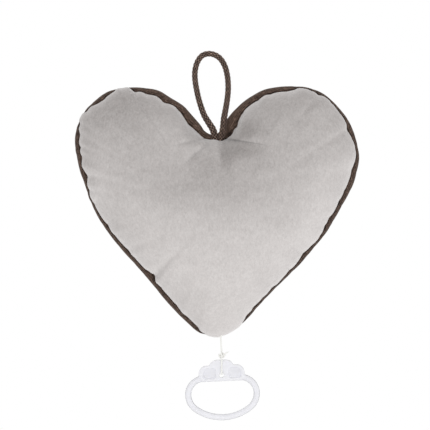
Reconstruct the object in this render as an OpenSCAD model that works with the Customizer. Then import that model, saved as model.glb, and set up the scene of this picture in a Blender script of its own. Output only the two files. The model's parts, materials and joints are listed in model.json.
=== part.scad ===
// Stuffed heart with a pull-cord musical movement: a velvet front and a knitted back around a
// fibre filling, a hanging loop in the notch, and a cord with a moulded ring at the tip.
// X runs to the right, Z up, and the front faces -Y. The origin is where a peg passes through
// the hanging loop, level with the centre of the eye's round top, on the heart's middle plane.

/* [Heart] */
// Distance between the centres of the two lobes
lobe_spacing = 119; // [112:1:126]
// Radius of the top of each lobe
lobe_r = 51.5; // [48:0.5:55]
// Depth of the lobe centres below the hanging point
lobe_drop = 63; // [58:1:68]
// Slope of the two sides of the notch, measured from level
notch_slope = 49; // [44:1:54]
// Radius of the shoulder below each lobe
shoulder_r = 112; // [95:1:130]
// Angle below level at which a lobe runs into its shoulder
shoulder_angle = 10; // [5:1:15]
// Radius of each long flank
flank_r = 560; // [450:10:800]
// Radius of the rounded tip
tip_r = 17; // [15:0.5:20]
// Depth of the tip below the hanging point
tip_drop = 210; // [204:1:216]
// Thickness of the stuffed heart from front to back
heart_t = 76; // [70:1:84]
// Depth of the fullest point of the heart below the hanging point
crown_drop = 112; // [106:1:118]
// How far behind the seam the back panel is widest
belly_depth = 6; // [4:0.5:9]

/* [Cloth] */
// Thickness of the velvet and of the knitted cloth
cloth_t = 1.6; // [1:0.1:2.4]
// How far the seam lies inside the widest outline
seam_inset = 3.5; // [2:0.5:5]
// Width of the seam allowance that is turned inwards
seam_allowance = 7; // [5:0.5:8]

/* [Hanging loop] */
// Diameter of the braided hanging loop
loop_d = 4.4; // [3.6:0.2:5.2]

/* [Movement case] */
// Outside radius of the round plastic case
case_r = 28.5; // [28:0.5:32]
// Depth of the case from its back to its front
case_h = 34; // [34:0.5:38]
// Wall of the case
case_wall = 1.8; // [1.4:0.1:2]
// Depth of the centre of the case below the hanging point
case_drop = 115; // [110:1:120]
// Height of the joint between the two shells above the case's back
case_split = 14; // [13.8:0.1:14.4]
// Radius of the circle of case screws
case_screw_ring = 23; // [22.6:0.1:23.2]
// Radius of the case screws
case_screw_r = 1.1; // [0.9:0.05:1.2]
// Length of the sound slots in the front of the case
slot_len = 22; // [14:1:26]
// Width of each sound slot
slot_w = 1.6; // [1:0.1:2]

/* [Bedplate] */
// Radius of the bedplate
bedplate_r = 25.6; // [25:0.1:26]
// Thickness of the bedplate
bedplate_t = 2; // [1.6:0.1:2]
// Radius of the circle of bedplate screws
bedplate_screw_ring = 22; // [21.6:0.1:22.4]
// Radius of the bedplate screws
bedplate_screw_r = 0.9; // [0.7:0.05:1.1]

/* [String drum] */
// Radius of the drum that the cord winds on
drum_r = 12.3; // [12:0.1:12.6]
// Radius of the drum's two flanges
flange_r = 15; // [14.6:0.1:16]
// Wall of the drum round the spring
drum_wall = 1.7; // [1.2:0.1:2]
// Width between the drum's flanges
drum_w = 4.5; // [4.4:0.1:5]
// Radius of the fixed arbor inside the mainspring
arbor_r = 4.4; // [4:0.1:5]
// Thickness of the spring strip
spring_t = 0.3; // [0.2:0.05:0.4]
// Turns of the mainspring
spring_turns = 5; // [3:1:6]
// Number of ratchet teeth
ratchet_teeth = 14; // [10:1:18]

/* [Crown wheel and cylinder] */
// Module of the crown wheel and of its pinion
crown_module = 0.7; // [0.68:0.01:0.7]
// Number of teeth of the crown wheel
crown_teeth = 30; // [28:1:30]
// Number of teeth of the drive pinion
pinion_teeth = 21; // [20:1:21]
// Width of the crown wheel's ring of teeth
crown_face = 1.6; // [1.2:0.1:1.8]
// Radius of the shaft that carries the crown wheel
crown_shaft_r = 1.5; // [1.2:0.1:1.7]
// Radius of the pinned cylinder
barrel_r = 6; // [5.6:0.1:6.1]
// How far the pins stand out of the cylinder
pin_h = 0.5; // [0.3:0.1:0.6]
// Radius of each pin
pin_r = 0.2; // [0.15:0.05:0.25]
// Radius of the cylinder's shaft
cylinder_shaft_r = 1; // [0.8:0.1:1.2]

/* [Comb] */
// Number of teeth of the comb
comb_teeth = 18; // [12:1:18]
// Distance from one tooth of the comb to the next
comb_pitch = 0.85; // [0.7:0.01:0.86]
// Width of the slots between the teeth
comb_slot = 0.18; // [0.12:0.02:0.26]
// Thickness of the teeth
comb_tooth_t = 0.9; // [0.6:0.1:1.1]
// Thickness of the comb's root
comb_root_t = 2; // [1.6:0.1:2.4]

/* [Governor] */
// Module of the governor's gears
governor_module = 0.4; // [0.38:0.01:0.4]
// Number of teeth of the gear on the cylinder's shaft
governor_gear_teeth = 30; // [28:1:30]
// Number of teeth of the small pinion that it drives
governor_pinion_teeth = 10; // [10:1:11]
// Number of teeth of the wheel that drives the worm
worm_wheel_teeth = 18; // [17:1:19]
// Mean radius of the worm
worm_r = 1.3; // [1.2:0.05:1.4]
// Radius of the air brake
fan_r = 3; // [2.4:0.1:3.1]

/* [Pull cord and ring] */
// Diameter of the pull cord
cord_d = 1.4; // [1:0.1:1.5]
// Distance of the pull cord to the right of the heart's middle plane
cord_x = 4; // [2:0.5:6]
// Depth of the knot below the hanging point
knot_drop = 223; // [221:0.5:226]
// Width of the pull ring
ring_w = 58.3; // [54:0.5:64]
// Diameter of the ring's round bar
bar_d = 4.8; // [4:0.1:5.4]
// Height of the ring's finger hole
finger_h = 26; // [24:0.5:30]
// Radius of the ring's two upper corners along the bar's centre
corner_r = 12.5; // [11:0.5:14]
// Radius of the ring's two sides along the bar's centre
side_r = 14; // [12:0.5:16]
// Thickness of the cloud-shaped plate
cloud_t = 3.2; // [2.6:0.1:3.6]
// Radius of the middle bump of the cloud
cloud_mid_r = 8.8; // [8:0.1:9.2]
// Radius of the two side bumps of the cloud
cloud_side_r = 6.5; // [6:0.1:7]
// Distance of the side bumps from the middle
cloud_side_x = 12; // [11:0.5:13]
// Radius of the hole that the cord goes through
cord_hole_r = 1.8; // [1.6:0.1:2.2]
// Lean of the hanging ring, right side up
ring_tilt = 2.5; // [0:0.5:6]

/* [Fits] */
// Radial clearance of a shaft in its bearing
running_gap = 0.04; // [0.02:0.01:0.08]
// Clearance between parts that pass each other
free_gap = 0.3; // [0.2:0.05:0.4]
// Thinning of the gear teeth for play
tooth_play = 0.3; // [0.24:0.02:0.36]

/* [Hidden] */
$fn = 48;

// Colours
velvet_grey = [0.75, 0.74, 0.73];
knit_brown = [0.24, 0.20, 0.17];
cord_brown = [0.22, 0.19, 0.17];
plain_white = [0.93, 0.93, 0.92];
case_grey = [0.86, 0.86, 0.84];
steel = [0.62, 0.63, 0.65];
brass = [0.80, 0.66, 0.36];
cast_metal = [0.70, 0.70, 0.71];

// ---------------------------------------------------------------- plane geometry
function polar(c, r, a) = c + r * [cos(a), sin(a)];
function arc(c, r, from, to, n, first = 0) =
    [for (i = [first:n]) polar(c, r, from + (to - from) * i / n)];
function bearing_of(v) = atan2(v.y, v.x);
// The left one of the two points where a circle about a meets a circle about b, with b below a
function left_meet(a, ra, b, rb) =
    let (d = norm(b - a), u = (b - a) / d, m = (ra * ra - rb * rb + d * d) / (2 * d))
    a + m * u + sqrt(ra * ra - m * m) * [u.y, -u.x];

// ---------------------------------------------------------------- the heart's outline, in X and Z
lobe_c = [lobe_spacing / 2, -lobe_drop];
shoulder_c = polar(lobe_c, lobe_r - shoulder_r, -shoulder_angle);
tip_c = [0, tip_r - tip_drop];
flank_c = left_meet(shoulder_c, flank_r - shoulder_r, tip_c, flank_r - tip_r);
notch_angle = 90 + notch_slope;
crown_c = [0, -crown_drop];
lobe_steps = 14;
flank_steps = 5;
bend_steps = 3;

function notch_point(inset) =
    let (t = polar(lobe_c, lobe_r - inset, notch_angle))
    [0, t.y + t.x * cos(notch_angle) / sin(notch_angle)];

function half_outline(inset) =
    let (flank_from = bearing_of(shoulder_c - flank_c), flank_to = bearing_of(tip_c - flank_c))
    concat(
        [notch_point(inset)],
        arc(lobe_c, lobe_r - inset, notch_angle, -shoulder_angle, lobe_steps),
        arc(shoulder_c, shoulder_r - inset, -shoulder_angle, flank_from, bend_steps, 1),
        arc(flank_c, flank_r - inset, flank_from, flank_to, flank_steps, 1),
        arc(tip_c, tip_r - inset, flank_to, -90, bend_steps, 1)
    );

// The whole outline at a distance inside the widest one, clockwise from the notch
function outline(inset) =
    let (half = half_outline(inset), last = len(half) - 1)
    concat(half, [for (i = [last - 1:-1:1]) [-half[i].x, half[i].y]]);

// ---------------------------------------------------------------- crowned shells over the outline
// Shares of the way from the crown to the rim at which the shells have a ring of points
crown_steps = [0.2, 0.4, 0.58, 0.73, 0.85, 0.94];
crown_mean_r = 88;
function crown_rise(s) = pow(1 - pow(s, 2.4), 0.6);
function dome(rim_y, top_y, s) = rim_y + (top_y - rim_y) * crown_rise(s);

// A ring of the outline drawn in towards the crown, rounder the closer it comes to it
function ring_at(inset, s, y) = [
    for (p = outline(inset))
        let (v = p - crown_c, w = (1 - s) * (1 - s), q = crown_c + s * ((1 - w) + w * crown_mean_r / norm(v)) * v)
        [q.x, y, q.y]
];
function dome_rings(inset, rim_y, top_y, steps) =
    [for (s = steps) ring_at(inset, s, dome(rim_y, top_y, s))];
function reversed(list) = [for (i = [len(list) - 1:-1:0]) list[i]];

// A closed skin from one pole through a row of rings to the other pole
module loft(pole_a, rings, pole_b) {
    n = len(rings[0]);
    m = len(rings);
    last = m * n + 1;
    polyhedron(
        points = concat([pole_a], [for (ring = rings) each ring], [pole_b]),
        faces = concat(
            [for (j = [0:n - 1]) [0, 1 + j, 1 + (j + 1) % n]],
            [for (i = [0:m - 2], j = [0:n - 1])
                let (a = 1 + i * n + j, b = 1 + i * n + (j + 1) % n)
                each [[a, a + n, b + n], [a, b + n, b]]],
            [for (j = [0:n - 1]) [last, 1 + (m - 1) * n + (j + 1) % n, 1 + (m - 1) * n + j]]
        )
    );
}

// ---------------------------------------------------------------- places of the movement
// The case has its own frame: x to the right, y up, z out of its front, and z = 0 halfway
drum_z = -9.15;
cord_reach = drum_r + cord_d / 2;
case_at = [cord_x - cord_reach, drum_z, -case_drop];
module in_case() {
    translate(case_at) rotate([90, 0, 0]) children();
}
case_back = -case_h / 2;
case_front = case_h / 2;
split_z = case_back + case_split;
inner_r = case_r - case_wall;
floor_z = case_back + case_wall;
ceiling_z = case_front - case_wall;

// Height levels inside the case
flange_t = 1;
drum_front = drum_z + drum_w / 2 + flange_t;
drum_back = drum_z - drum_w / 2 - flange_t;
plate_gap = 0.5;
plate_back = drum_front + plate_gap;
plate_front = plate_back + bedplate_t;
disc_t = 1.2;
disc_gap = 0.55;
crown_back = plate_front + disc_gap;
addendum = 0.8;
dedendum = 1.1;
crown_pitch_z = crown_back + disc_t + dedendum * crown_module;
cylinder_z = crown_pitch_z + crown_module * pinion_teeth / 2;

// Places along the cylinder's axis
crown_r = crown_module * crown_teeth / 2;
crown_out_r = crown_r + crown_face / 2;
pinion_w = 2.4;
barrel_half = 8;
governor_gear_x = 9.1;
governor_gear_w = 1.5;
bearing_t = 1.2;
bearing_left_x = -(crown_out_r + free_gap + 0.6 + bearing_t);
bearing_right_x = crown_out_r + free_gap + 0.3;
tip_gap = 0.12;
comb_tip_y = barrel_r + pin_h + tip_gap;

// Places of the governor
governor_shaft_r = 0.5;
governor_y = -governor_module * (governor_gear_teeth + governor_pinion_teeth) / 2;
worm_pitch = PI * governor_module;
worm_depth = 0.45;
worm_gap = 0.25;
worm_y = governor_y - governor_module * worm_wheel_teeth / 2 - worm_r - worm_gap;
worm_wheel_x = 11;
worm_wheel_w = 1.4;
worm_x = worm_wheel_x + worm_wheel_w / 2;
worm_len = 5 * worm_pitch;
bracket_t = 0.8;

case_screw_angles = [45, 165, 285];
bedplate_screw_angles = [120, 225, 345];
function on_ring(r, a) = [r * cos(a), r * sin(a), 0];

// ---------------------------------------------------------------- small shapes
// A rod along z between two levels
module rod(r, from, to) {
    translate([0, 0, from]) cylinder(r = r, h = to - from);
}
// A flat shape between two levels
module slab(from, to) {
    translate([0, 0, from]) linear_extrude(to - from) children();
}
// Children made along z, laid along x with their own x pointing up the case's y
module along_x(x, y, z) {
    translate([x, y, z]) rotate([90, 0, 90]) children();
}
module screw(r, head_r, head_h, len) {
    rod(r, -len, 0);
    difference() {
        rod(head_r, 0, head_h);
        translate([-head_r, -head_h / 4, head_h / 2]) cube([2 * head_r, head_h / 2, head_h]);
    }
}

// ---------------------------------------------------------------- gears
function involute_gap(r, base_r) =
    let (a = acos(min(1, base_r / r))) tan(a) * 180 / PI - a;
// Half the angle of a tooth at a radius
function tooth_half(r, n, m, play) =
    let (base_r = n * m / 2 * cos(20))
    90 / n - play / (n * m) * 180 / PI + involute_gap(n * m / 2, base_r) - involute_gap(max(r, base_r), base_r);
function gear_points(n, m, play, turn) =
    let (pitch_r = n * m / 2, radii = [pitch_r - dedendum * m, pitch_r - 0.3 * m, pitch_r + 0.3 * m,
                                       pitch_r + addendum * m])
    [for (i = [0:n - 1], side = [-1, 1], k = [0:3])
        let (r = radii[side < 0 ? k : 3 - k])
        polar([0, 0], r, turn + 360 * i / n + side * tooth_half(r, n, m, play))];
module gear(n, m, w, play, turn, bore_r) {
    difference() {
        linear_extrude(w) polygon(gear_points(n, m, play, turn));
        translate([0, 0, -1]) cylinder(r = bore_r, h = w + 2);
    }
}

// ---------------------------------------------------------------- cords
// Route of the hanging loop from one end in the notch seam, round the eye, to the other
loop_route = [
    [-1.5, 0, -61], [-1.2, 0, -54], [-3, 0, -47], [-6.5, 0, -41], [-9.5, 0, -35.5], [-11.8, 0, -29.5],
    [-13.8, 0, -23], [-15.4, 0, -16], [-16.7, 0, -8], [-16.8, 0, -1], [-15, 0, 6], [-11.4, 0, 11],
    [-6.3, 0, 13], [-1, 0, 11.6], [3.4, 0, 8.3], [6.8, 0, 2.5], [8.5, 0, -5], [9.1, 0, -13],
    [8.6, 0, -21], [7.2, 0, -30], [5.8, 0, -38], [5.2, 0, -45], [4.2, 0, -52], [3.2, 0, -61]
];
// Route of the loop below the knot, as distance in front of the cord and below the knot's centre
loop_under_knot = [
    [-1.2, -1.2], [-2, -2], [-2.6, -3.2], [-2.75, -6], [-2.75, -10], [-2.75, -12.2], [-2.45, -13.3], [-1.7, -13.9],
    [0, -13.9],
    [1.7, -13.9], [2.45, -13.3], [2.75, -12.2], [2.75, -10], [2.75, -6], [2.6, -3.2], [2, -2], [1.2, -1.2]
];
function unit(v) = v / norm(v);
// Rings of points about a route, one corner of each pointing towards the side given
function tube_rings(route, r, sides, side) = [
    for (i = [0:len(route) - 1])
        let (
            t = unit(route[min(i + 1, len(route) - 1)] - route[max(i - 1, 0)]),
            u = unit(side - (side * t) * t),
            v = cross(t, u)
        )
        [for (k = [0:sides - 1]) route[i] + r * (cos(360 * k / sides) * u + sin(360 * k / sides) * v)]
];
module tube(route, r, sides, side) {
    loft(route[0], tube_rings(route, r, sides, side), route[len(route) - 1]);
}

// ---------------------------------------------------------------- textile pieces
seam_gap = 0.1;
fill_gap = 0.6;
half_t = heart_t / 2;
edge_inset = seam_inset + seam_allowance;

module cord_passage(extra) {
    translate([cord_x, 0, -tip_drop - 5]) cylinder(r = cord_d / 2 + extra, h = tip_drop - case_drop);
}

module front_panel() {
    color(velvet_grey)
    difference() {
        loft(
            [0, -half_t, -crown_drop],
            concat(
                dome_rings(seam_inset, -seam_gap, -half_t, crown_steps),
                [ring_at(seam_inset, 1, -seam_gap)],
                [ring_at(edge_inset, 1, -seam_gap)],
                [ring_at(edge_inset, 1, -seam_gap - cloth_t)],
                [ring_at(seam_inset + cloth_t, 1, -seam_gap - cloth_t)],
                dome_rings(seam_inset + cloth_t, -seam_gap - cloth_t, cloth_t - half_t, reversed(crown_steps))
            ),
            [0, cloth_t - half_t, -crown_drop]
        );
        cord_passage(free_gap);
    }
}

module back_panel() {
    color(knit_brown)
    difference() {
        loft(
            [0, half_t - cloth_t, -crown_drop],
            concat(
                dome_rings(cloth_t, belly_depth, half_t - cloth_t, crown_steps),
                [ring_at(cloth_t, 1, belly_depth)],
                [ring_at(seam_inset + cloth_t, 1, seam_gap + cloth_t)],
                [ring_at(edge_inset, 1, seam_gap + cloth_t)],
                [ring_at(edge_inset, 1, seam_gap)],
                [ring_at(seam_inset, 1, seam_gap)],
                [ring_at(0, 1, belly_depth)],
                dome_rings(0, belly_depth, half_t, reversed(crown_steps))
            ),
            [0, half_t, -crown_drop]
        );
        cord_passage(free_gap);
    }
}

module fibre_filling() {
    skin = cloth_t + fill_gap;
    lip_y = seam_gap + skin;
    color(plain_white)
    difference() {
        loft(
            [0, skin - half_t, -crown_drop],
            concat(
                dome_rings(seam_inset + skin, -lip_y, skin - half_t, crown_steps),
                [ring_at(seam_inset + skin, 1, -lip_y)],
                [ring_at(edge_inset + fill_gap, 1, -lip_y)],
                [ring_at(edge_inset + fill_gap, 1, lip_y)],
                [ring_at(seam_inset + skin, 1, lip_y)],
                [ring_at(skin, 1, belly_depth)],
                dome_rings(skin, belly_depth, half_t - skin, reversed(crown_steps))
            ),
            [0, half_t - skin, -crown_drop]
        );
        in_case() {
            rod(case_r + fill_gap, case_back - fill_gap, case_front + fill_gap);
            outlet(outlet_r + fill_gap, case_r + outlet_out + eyelet_lip + 1);
        }
        cord_passage(2 * free_gap);
    }
}

module hanging_loop() {
    color(cord_brown) tube(loop_route, loop_d / 2, 10, [0, 1, 0]);
}

// ---------------------------------------------------------------- case
outlet_r = 4.2;
outlet_out = 1.5;
eyelet_r = 2.4;
eyelet_lip = 1;
post_r = 3;
head_seat = 5;
lip_h = 1.6;
lip_t = 1.2;

// A round boss along the cord's line, from the middle of the case down to a distance below it
module outlet(r, reach) {
    translate([cord_reach, 0, drum_z]) rotate([90, 0, 0]) cylinder(r = r, h = reach);
}

module case_base() {
    color(case_grey) in_case()
    difference() {
        union() {
            difference() {
                union() {
                    rod(case_r, case_back, split_z);
                    outlet(outlet_r, case_r + outlet_out);
                }
                rod(inner_r, floor_z, split_z + 1);
            }
            for (a = case_screw_angles) translate(on_ring(case_screw_ring, a)) rod(post_r, case_back + 1, split_z);
            for (a = bedplate_screw_angles) {
                translate(on_ring(bedplate_screw_ring, a)) rod(2.5 * bedplate_screw_r, case_back + 1, plate_back);
            }
        }
        outlet(eyelet_r, case_r + outlet_out + 1);
        for (a = case_screw_angles) {
            translate(on_ring(case_screw_ring, a)) {
                rod(case_screw_r + free_gap, case_back - 1, split_z + 1);
                rod(2 * case_screw_r, case_back - 1, case_back + head_seat);
            }
        }
        for (a = bedplate_screw_angles) {
            translate(on_ring(bedplate_screw_ring, a)) rod(bedplate_screw_r, floor_z + 1, plate_back + 1);
        }
    }
}

module case_cover() {
    color(case_grey) in_case()
    difference() {
        union() {
            difference() {
                rod(case_r, split_z, case_front);
                rod(inner_r, split_z - 1, ceiling_z);
            }
            difference() {
                rod(inner_r - running_gap, split_z - lip_h, split_z + lip_h);
                rod(inner_r - lip_t + 0.5, split_z - lip_h - 1, split_z + lip_h + 1);
            }
            for (a = case_screw_angles) translate(on_ring(case_screw_ring, a)) rod(post_r, split_z, case_front - 1);
        }
        for (a = case_screw_angles) {
            translate(on_ring(case_screw_ring, a)) {
                rod(case_screw_r, split_z - lip_h - 1, split_z + case_bite + 2);
                rod(post_r + free_gap, split_z - lip_h - 1, split_z);
            }
        }
        for (i = [-3:3]) {
            len = slot_len * cos(i * 20);
            translate([0, 3.6 * i, 0]) slab(ceiling_z - 1, case_front + 1) hull() {
                for (s = [-1, 1]) translate([s * (len - slot_w) / 2, 0]) circle(r = slot_w / 2);
            }
        }
    }
}

module case_screws() {
    color(steel) in_case()
    for (a = case_screw_angles) {
        translate(on_ring(case_screw_ring, a)) translate([0, 0, case_back + head_seat]) mirror([0, 0, 1])
            screw(case_screw_r, 1.8 * case_screw_r, 1.4, case_split - head_seat + case_bite);
    }
}

module cord_eyelet() {
    color(brass) in_case()
    difference() {
        union() {
            outlet(eyelet_r, case_r + outlet_out + eyelet_lip / 2);
            translate([0, -case_r - outlet_out, 0]) outlet(outlet_r - 0.4, eyelet_lip);
        }
        outlet(cord_d / 2 + free_gap, case_r + outlet_out + eyelet_lip + 1);
        rod(inner_r, case_back, case_front);
    }
}

// ---------------------------------------------------------------- bedplate and brackets
stand_y = 14.5;
stand_top_y = 21.3;
stand_half = comb_teeth * comb_pitch / 2 + 1;
comb_back = cylinder_z - comb_tooth_t / 2;
comb_screw_y = 17.6;
comb_screw_x = 5.4;
comb_screw_r = 1;
bearing_half = 2.4;
bearing_foot = 5;
bearing_screw_x = 3.2;
bracket_screw_places = [[15.8, -7.8, 0], [7.2, -16.4, 0]];
small_screw_r = 0.7;
// Depth of thread below what each screw holds
comb_bite = 4.5;
bedplate_bite = 5;
case_bite = 6;

module bearing_screw_places() {
    for (s = [-1, 1]) {
        x = s < 0 ? bearing_left_x - bearing_screw_x + 0.6 : bearing_right_x + bearing_t + bearing_screw_x - 0.6;
        translate([x, 0, 0]) children();
    }
}

module bedplate() {
    color(cast_metal) in_case()
    difference() {
        union() {
            rod(bedplate_r, plate_back, plate_front);
            translate([-stand_half, stand_y, plate_front - 1])
                cube([2 * stand_half, stand_top_y - stand_y, comb_back - plate_front + 1]);
        }
        rod(crown_shaft_r + running_gap, plate_back - 1, plate_front + 1);
        for (a = case_screw_angles) {
            translate(on_ring(case_screw_ring, a)) rod(post_r + free_gap, plate_back - 1, plate_front + 1);
        }
        for (a = bedplate_screw_angles) {
            translate(on_ring(bedplate_screw_ring, a)) rod(bedplate_screw_r + 0.1, plate_back - 1, plate_front + 1);
        }
        for (s = [-1, 1]) translate([s * comb_screw_x, comb_screw_y, 0]) rod(comb_screw_r, comb_back - comb_bite - 0.5, comb_back + 1);
        bearing_screw_places() rod(small_screw_r, plate_back - 1, plate_front + 1);
        for (p = bracket_screw_places) translate(p) rod(small_screw_r, plate_back - 1, plate_front + 1);
    }
}

module bedplate_screws() {
    color(steel) in_case()
    for (a = bedplate_screw_angles) {
        translate(on_ring(bedplate_screw_ring, a)) translate([0, 0, plate_front])
            screw(bedplate_screw_r, 1.9 * bedplate_screw_r, 1.1, bedplate_t + bedplate_bite);
    }
}

module bearing(x, foot_x) {
    difference() {
        union() {
            translate([x, -bearing_half, plate_front]) cube([bearing_t, 2 * bearing_half, cylinder_z - plate_front]);
            along_x(x, 0, cylinder_z) cylinder(r = bearing_half, h = bearing_t);
            translate([min(x, foot_x), -bearing_half, plate_front])
                cube([abs(foot_x - x) + (foot_x < x ? bearing_t : 0), 2 * bearing_half, bearing_t]);
        }
        along_x(x - 1, 0, cylinder_z) cylinder(r = cylinder_shaft_r + running_gap, h = bearing_t + 2);
        bearing_screw_places() rod(small_screw_r + 0.1, plate_front - 1, plate_front + bearing_t + 1);
    }
}

module bearing_brackets() {
    color(brass) in_case() {
        bearing(bearing_left_x, bearing_left_x - bearing_foot + 0.4);
        bearing(bearing_right_x, bearing_right_x + bearing_t + bearing_foot - 0.4);
    }
}

module bearing_screws() {
    color(steel) in_case()
    bearing_screw_places() translate([0, 0, plate_front + bearing_t])
        screw(small_screw_r, 2 * small_screw_r, 0.9, bearing_t + bedplate_t);
}

// ---------------------------------------------------------------- string drum, spring and click
spring_gap = 0.3;
spring_in_r = arbor_r + spring_t / 2;
spring_out_r = drum_r - drum_wall - spring_t / 2;
spring_steps = 18;

module spring_arbor() {
    color(brass) in_case()
    difference() {
        union() {
            rod(arbor_r, drum_back + flange_t + spring_gap, plate_back);
        }
        rod(crown_shaft_r + running_gap, drum_back, plate_back + 1);
    }
}

// The strip's centre runs out evenly from the arbor to the wall of the drum
function spiral(i, off) =
    let (share = i / (spring_turns * spring_steps))
    polar([0, 0], spring_in_r + (spring_out_r - spring_in_r) * share + off, 360 * i / spring_steps);

module mainspring() {
    last = spring_turns * spring_steps;
    color(steel) in_case()
    slab(drum_back + flange_t + spring_gap, drum_front - spring_gap) polygon(concat(
        [for (i = [0:last]) spiral(i, -spring_t / 2)],
        [for (i = [last:-1:0]) spiral(i, spring_t / 2)]
    ));
}

module string_drum() {
    color(plain_white) in_case()
    difference() {
        union() {
            rod(flange_r, drum_back, drum_back + flange_t);
            rod(drum_r, drum_back, drum_front);
            rod(flange_r, drum_front - flange_t, drum_front);
            translate([click_pin_r, 0, 0]) rod(1.1, drum_back - click_lift - click_t, drum_back + 0.5);
        }
        rod(drum_r - drum_wall, drum_back + flange_t, drum_front + 1);
        rod(crown_shaft_r + running_gap, drum_back - 1, drum_front);
    }
}

module cord_winding() {
    color(plain_white) in_case()
    for (i = [-1:1]) {
        translate([0, 0, drum_z + i * (cord_d + 0.05)]) rotate_extrude() translate([cord_reach, 0]) circle(r = cord_d / 2, $fn = 24);
    }
}

click_pin_r = 11;
click_eye_r = 2;
click_lift = 0.3;
click_t = 0.9;
ratchet_r = 6.2;
ratchet_root_r = 5.2;
ratchet_back = drum_back - click_lift - click_t;

// A leaf riveted to the drum, bent inwards so that its end lies behind a ratchet tooth
module click_spring() {
    nose_a = 360 / ratchet_teeth * 2.92 - 2;
    outer = [[click_pin_r - 0.6, 0.45 * nose_a], [ratchet_r + 1.6, 0.76 * nose_a], [ratchet_r + 0.05, nose_a + 0.5]];
    inner = [[ratchet_root_r + 0.35, nose_a], [ratchet_r + 0.9, 0.74 * nose_a], [click_pin_r - 1.7, 0.4 * nose_a]];
    color(steel) in_case()
    difference() {
        slab(ratchet_back + 0.1, ratchet_back + click_t - 0.1) polygon(concat(
            arc([click_pin_r, 0], click_eye_r, 150, 400, 12),
            [for (p = concat(outer, inner)) polar([0, 0], p.x, p.y)]
        ));
        translate([click_pin_r, 0, 0]) rod(1.1 + running_gap, ratchet_back - 1, drum_back);
    }
}

module ratchet_wheel() {
    color(brass) in_case()
    difference() {
        slab(ratchet_back, ratchet_back + click_t) polygon([
            for (i = [0:ratchet_teeth - 1], k = [0:1])
                polar([0, 0], k == 0 ? ratchet_r : ratchet_root_r, 360 / ratchet_teeth * (i + 0.92 * k))
        ]);
        rod(crown_shaft_r, ratchet_back - 1, ratchet_back + 2);
    }
}

module shaft_clip() {
    color(steel) in_case()
    difference() {
        rod(2 * crown_shaft_r, ratchet_back - 0.5, ratchet_back);
        rod(crown_shaft_r, ratchet_back - 2, ratchet_back + 1);
        translate([0, -crown_shaft_r * 0.6, ratchet_back - 1]) cube([3 * crown_shaft_r, crown_shaft_r * 1.2, 2]);
    }
}

// ---------------------------------------------------------------- crown wheel and its shaft
// A trapezoid across a tooth of the crown wheel, from its root to its tip
function crown_tooth() =
    let (
        pitch = PI * crown_module,
        half = pitch / 4 - tooth_play / 2,
        slope = tan(20),
        low = -dedendum * crown_module,
        high = addendum * crown_module
    )
    [[-half + slope * low, low - 0.2], [half - slope * low, low - 0.2],
     [half - slope * high, high], [-half + slope * high, high]];

module crown_wheel() {
    color(brass) in_case()
    difference() {
        union() {
            rod(crown_out_r, crown_back, crown_back + disc_t);
            for (i = [0:crown_teeth - 1]) {
                rotate([0, 0, 360 * i / crown_teeth]) translate([crown_r - crown_face / 2, 0, crown_pitch_z])
                    rotate([90, 0, 90]) linear_extrude(crown_face) polygon(crown_tooth());
            }
        }
        rod(crown_shaft_r, crown_back - 1, crown_back + 5);
        for (a = [0:60:300]) translate(on_ring(crown_r * 0.58, a)) rod(crown_r * 0.19, crown_back - 1, crown_back + 5);
    }
}

module crown_shaft() {
    color(steel) in_case() rod(crown_shaft_r, ratchet_back - 0.8, crown_back + disc_t);
}

// ---------------------------------------------------------------- pinned cylinder
barrel_wall = 0.8;
pins_per_track = 4;

module cylinder_barrel() {
    color(brass) in_case() along_x(-barrel_half, 0, cylinder_z)
    difference() {
        cylinder(r = barrel_r, h = 2 * barrel_half);
        translate([0, 0, 1]) cylinder(r = barrel_r - barrel_wall, h = 2 * barrel_half - 2);
        translate([0, 0, -1]) cylinder(r = cylinder_shaft_r, h = 2 * barrel_half + 2);
    }
}

module cylinder_pins() {
    color(steel) in_case()
    for (i = [0:comb_teeth - 1], k = [0:pins_per_track - 1]) {
        along_x((i - (comb_teeth - 1) / 2) * comb_pitch, 0, cylinder_z)
            rotate([0, 0, 137.5 * i + 360 / pins_per_track * k + 11 * k * (i % 3)]) rotate([0, 90, 0])
                rod(pin_r, barrel_r - barrel_wall / 2, barrel_r + pin_h, $fn = 16);
    }
}

module cylinder_shaft() {
    color(steel) in_case() along_x(bearing_left_x, 0, cylinder_z)
        cylinder(r = cylinder_shaft_r, h = bearing_right_x + bearing_t - bearing_left_x);
}

module drive_pinion() {
    color(brass) in_case() along_x(-crown_r - pinion_w / 2, 0, cylinder_z)
        gear(pinion_teeth, crown_module, pinion_w, tooth_play, 270 + 180 / pinion_teeth, cylinder_shaft_r);
}

module governor_gear() {
    color(brass) in_case() along_x(governor_gear_x, 0, cylinder_z)
        gear(governor_gear_teeth, governor_module, governor_gear_w, tooth_play / 2,
             governor_gear_teeth % 2 == 0 ? 0 : 180 / governor_gear_teeth, cylinder_shaft_r);
}

// ---------------------------------------------------------------- comb
module comb() {
    root_y = 13.4;
    color(steel) in_case()
    difference() {
        union() {
            translate([-comb_teeth * comb_pitch / 2, comb_tip_y, comb_back])
                cube([comb_teeth * comb_pitch, root_y + 1 - comb_tip_y, comb_tooth_t]);
            translate([-stand_half, root_y, comb_back]) cube([2 * stand_half, stand_top_y - root_y, comb_root_t]);
        }
        for (i = [1:comb_teeth - 1]) {
            len = 6.6 - 2.4 * i / comb_teeth;
            translate([(i - comb_teeth / 2) * comb_pitch - comb_slot / 2, comb_tip_y - 1, comb_back - 1])
                cube([comb_slot, len + 1, comb_root_t + 2]);
        }
        for (s = [-1, 1]) translate([s * comb_screw_x, comb_screw_y, 0]) {
            rod(comb_screw_r + 0.1, comb_back - 1, comb_back + comb_root_t + 1);
        }
    }
}

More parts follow.
